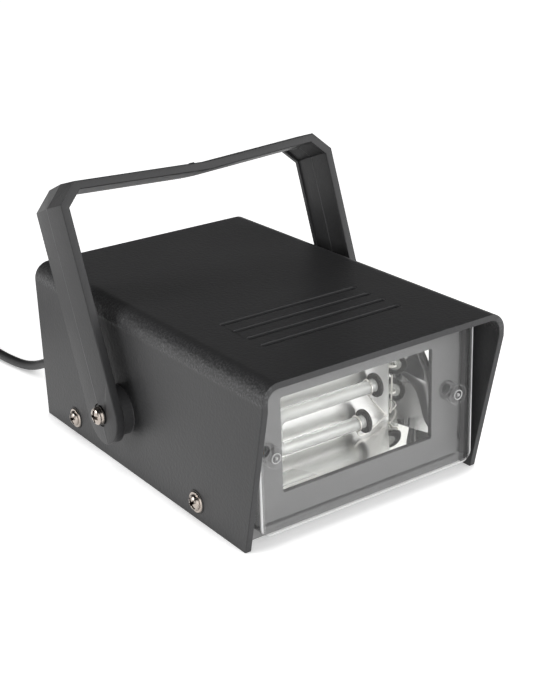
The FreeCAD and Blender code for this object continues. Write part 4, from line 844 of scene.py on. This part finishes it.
def make_cord_set(black):
    """The mains cord with its plug and tie, and the relief where it leaves the housing."""
    sheath = plain_plastic("cord_sheath", (0.035, 0.035, 0.036), 0.45)
    sleeved = banded("pin_plate", "Y", 193 * MM, 10 * MM, grey(0.02), (0.7, 0.69, 0.66))
    plug = dressed("plug_body", "mains_plug", sheath, edge=0.4 * MM)
    pins = dressed("plug_pins", "mains_plug_pins", sleeved)
    dressed("strain_relief", "cord_relief", sheath, edge=0.12 * MM)
    tie = dressed("cord_tie", "coil_tie", black, edge=0.2 * MM)
    grips = make_plug_grips(sheath)
    make_cord(sheath)


def make_housing():
    """The cover, the tray under it, and the bracket that they hang in."""
    # The cover's round long edges have pale flecks painted on as highlights.
    cover = grained_plastic("cover_plastic", (0.042, 0.042, 0.0432), corner=(56.5 * MM, 69 * MM))
    # The bracket has a painted highlight along the ridge down each arm.
    strap = grained_plastic("bracket_plastic", (0.030, 0.030, 0.031), grain=0.7 * MM, depth=0.08 * MM,
                            ridge_highlight=(PIVOT_ALONG, PIVOT_HEIGHT, BRACKET_LEAN))
    dressed("top_cover", "cover", cover, edge=0.4 * MM)
    dressed("base_tray", "tray", tray_plastic("tray_plastic", grey(0.09), grey(0.23)), edge=0.25 * MM)
    dressed("bracket", "hanging_bracket", strap, body="bracket")


def make_lamp_parts(rubber):
    """The front plate, the reflector, and the flash tube with its leads and wires."""
    wire = plated_metal("nickel_wire", (0.75, 0.73, 0.70), 0.25)
    dressed("lens_plate", "front_plate", front_plastic("clear_plastic"))
    make_trough(mirror_finish("mirror_sheet"))
    make_peg_rings(plain_plastic("peg_plastic", grey(0.55), 0.15))
    dressed("flash_tube", "xenon_tube", milky_glass("tube_glass"))
    dressed("tube_electrodes", "electrode_leads", wire)
    dressed("tube_grommets", "tube_rings", rubber)
    dressed("trigger_wire", "ignition_wire", wire)


def make_fasteners(rubber):
    """The cover's side screws with a dark ring of painted shade round each flange, and the screws and washers
    that the bracket tilts on.
    """
    # The screws' nickel has painted shade that darkens its recesses.
    nickel = plated_metal("nickel_plate", (0.42, 0.37, 0.33), 0.2, recess_shade=1.3 * MM)
    side_sizes = {"Shank": 1.5 * MM, "Length": 8 * MM, "Flange": 5 * MM, "Flange height": 0.9 * MM,
                  "Head": 3.6 * MM, "Head height": 2 * MM}
    pivot_sizes = {"Shank": 2 * MM, "Length": 20.2 * MM, "Flange": 4.2 * MM, "Flange height": 1.5 * MM,
                   "Head": 4.0 * MM, "Head height": 1.7 * MM}
    side_rows = both_sides(SCREW_SIDE, SCREW_FRONT, SCREW_HEIGHT)
    side_step = Vector((0, SCREW_SPACING, 0))
    make_screws("cover_screws", "side_screws", nickel, side_rows, 2, side_step, side_sizes, seed=3)
    # A dark ring round each side screw's flange stands in for the shade there.
    make_flange_shade_rings(rubber, side_rows, 2, side_step)
    pivot_rows = both_sides(PIVOT_SIDE, PIVOT_ALONG, PIVOT_HEIGHT)
    make_screws("bracket_screws", "pivot_screws", nickel, pivot_rows, 1, side_step, pivot_sizes, seed=8)
    dark_steel = plated_metal("spring_steel", (0.10, 0.095, 0.09), 0.4)
    dressed("pivot_spring_washers", "bracket_washers", dark_steel, edge=0.1 * MM)


def make_steel_parts(black):
    """The plain steel pieces, and the speed knob on its shaft with the marks round it."""
    steel = plated_metal("bright_steel", grey(0.62), 0.3)
    for node in (
        "board_screws", "pivot_nuts", "speed_control", "control_washer", "control_nut", "fuse_clips",
    ):
        dressed(node, node + "_metal", steel)
    dressed("control_shaft", "knob_shaft", steel, body="speed_knob")
    dressed("speed_knob", "knob", black, body="speed_knob", edge=0.2 * MM)
    make_dial_marks(plain_plastic("print_white", grey(0.75), 0.5))


def make_electronics():
    """The circuit board and all that stands on it, and the wires."""
    dressed("circuit_board", "board", track_board("board_laminate", (0.05, 0.14, 0.04), (0.14, 0.26, 0.08)))
    dressed("storage_capacitors", "storage_cans", striped_sleeve(
        "can_sleeve", (0.02, 0.03, 0.09), (0.55, 0.57, 0.6), -30 * MM, 11 * MM, 47.1 * MM))
    dressed("film_capacitor", "film_can", plain_plastic("film_case", (0.45, 0.20, 0.03), 0.3))
    dressed("trigger_transformer", "ignition_coil", plain_plastic("bobbin", (0.5, 0.42, 0.3), 0.35))
    make_windings(plated_metal("winding", (0.55, 0.24, 0.10), 0.35))
    dressed("ballast_resistor", "ballast", plain_plastic("cement_case", (0.75, 0.74, 0.70), 0.8))
    dressed("rectifier_diodes", "diodes", banded(
        "diode_black", "X", 38 * MM, 4.5 * MM, grey(0.015), grey(0.7)))
    dressed("fuse", "fuse_body", banded(
        "fuse_glass", "X", 22 * MM, 4.5 * MM, (0.75, 0.78, 0.78), (0.72, 0.71, 0.68)))
    dressed("mains_terminal", "terminal", plain_plastic("terminal_plastic", (0.10, 0.22, 0.10), 0.5))
    leads = plain_plastic("lead_insulation", (0.06, 0.09, 0.25), 0.4)
    dressed("mains_leads", "mains_wires", leads)
    dressed("control_leads", "control_wires", leads)


def main():
    make_camera()
    black = plain_plastic("black_plastic", grey(0.02), 0.35)
    rubber = plain_plastic("ring_rubber", (0.035, 0.034, 0.032), 0.6)
    make_cord_set(black)
    make_housing()
    make_lamp_parts(rubber)
    make_fasteners(rubber)
    make_steel_parts(black)
    make_electronics()
    make_floor()
    make_surround()
    make_lamps()
    bpy.context.scene.view_settings.view_transform = "Standard"


main()
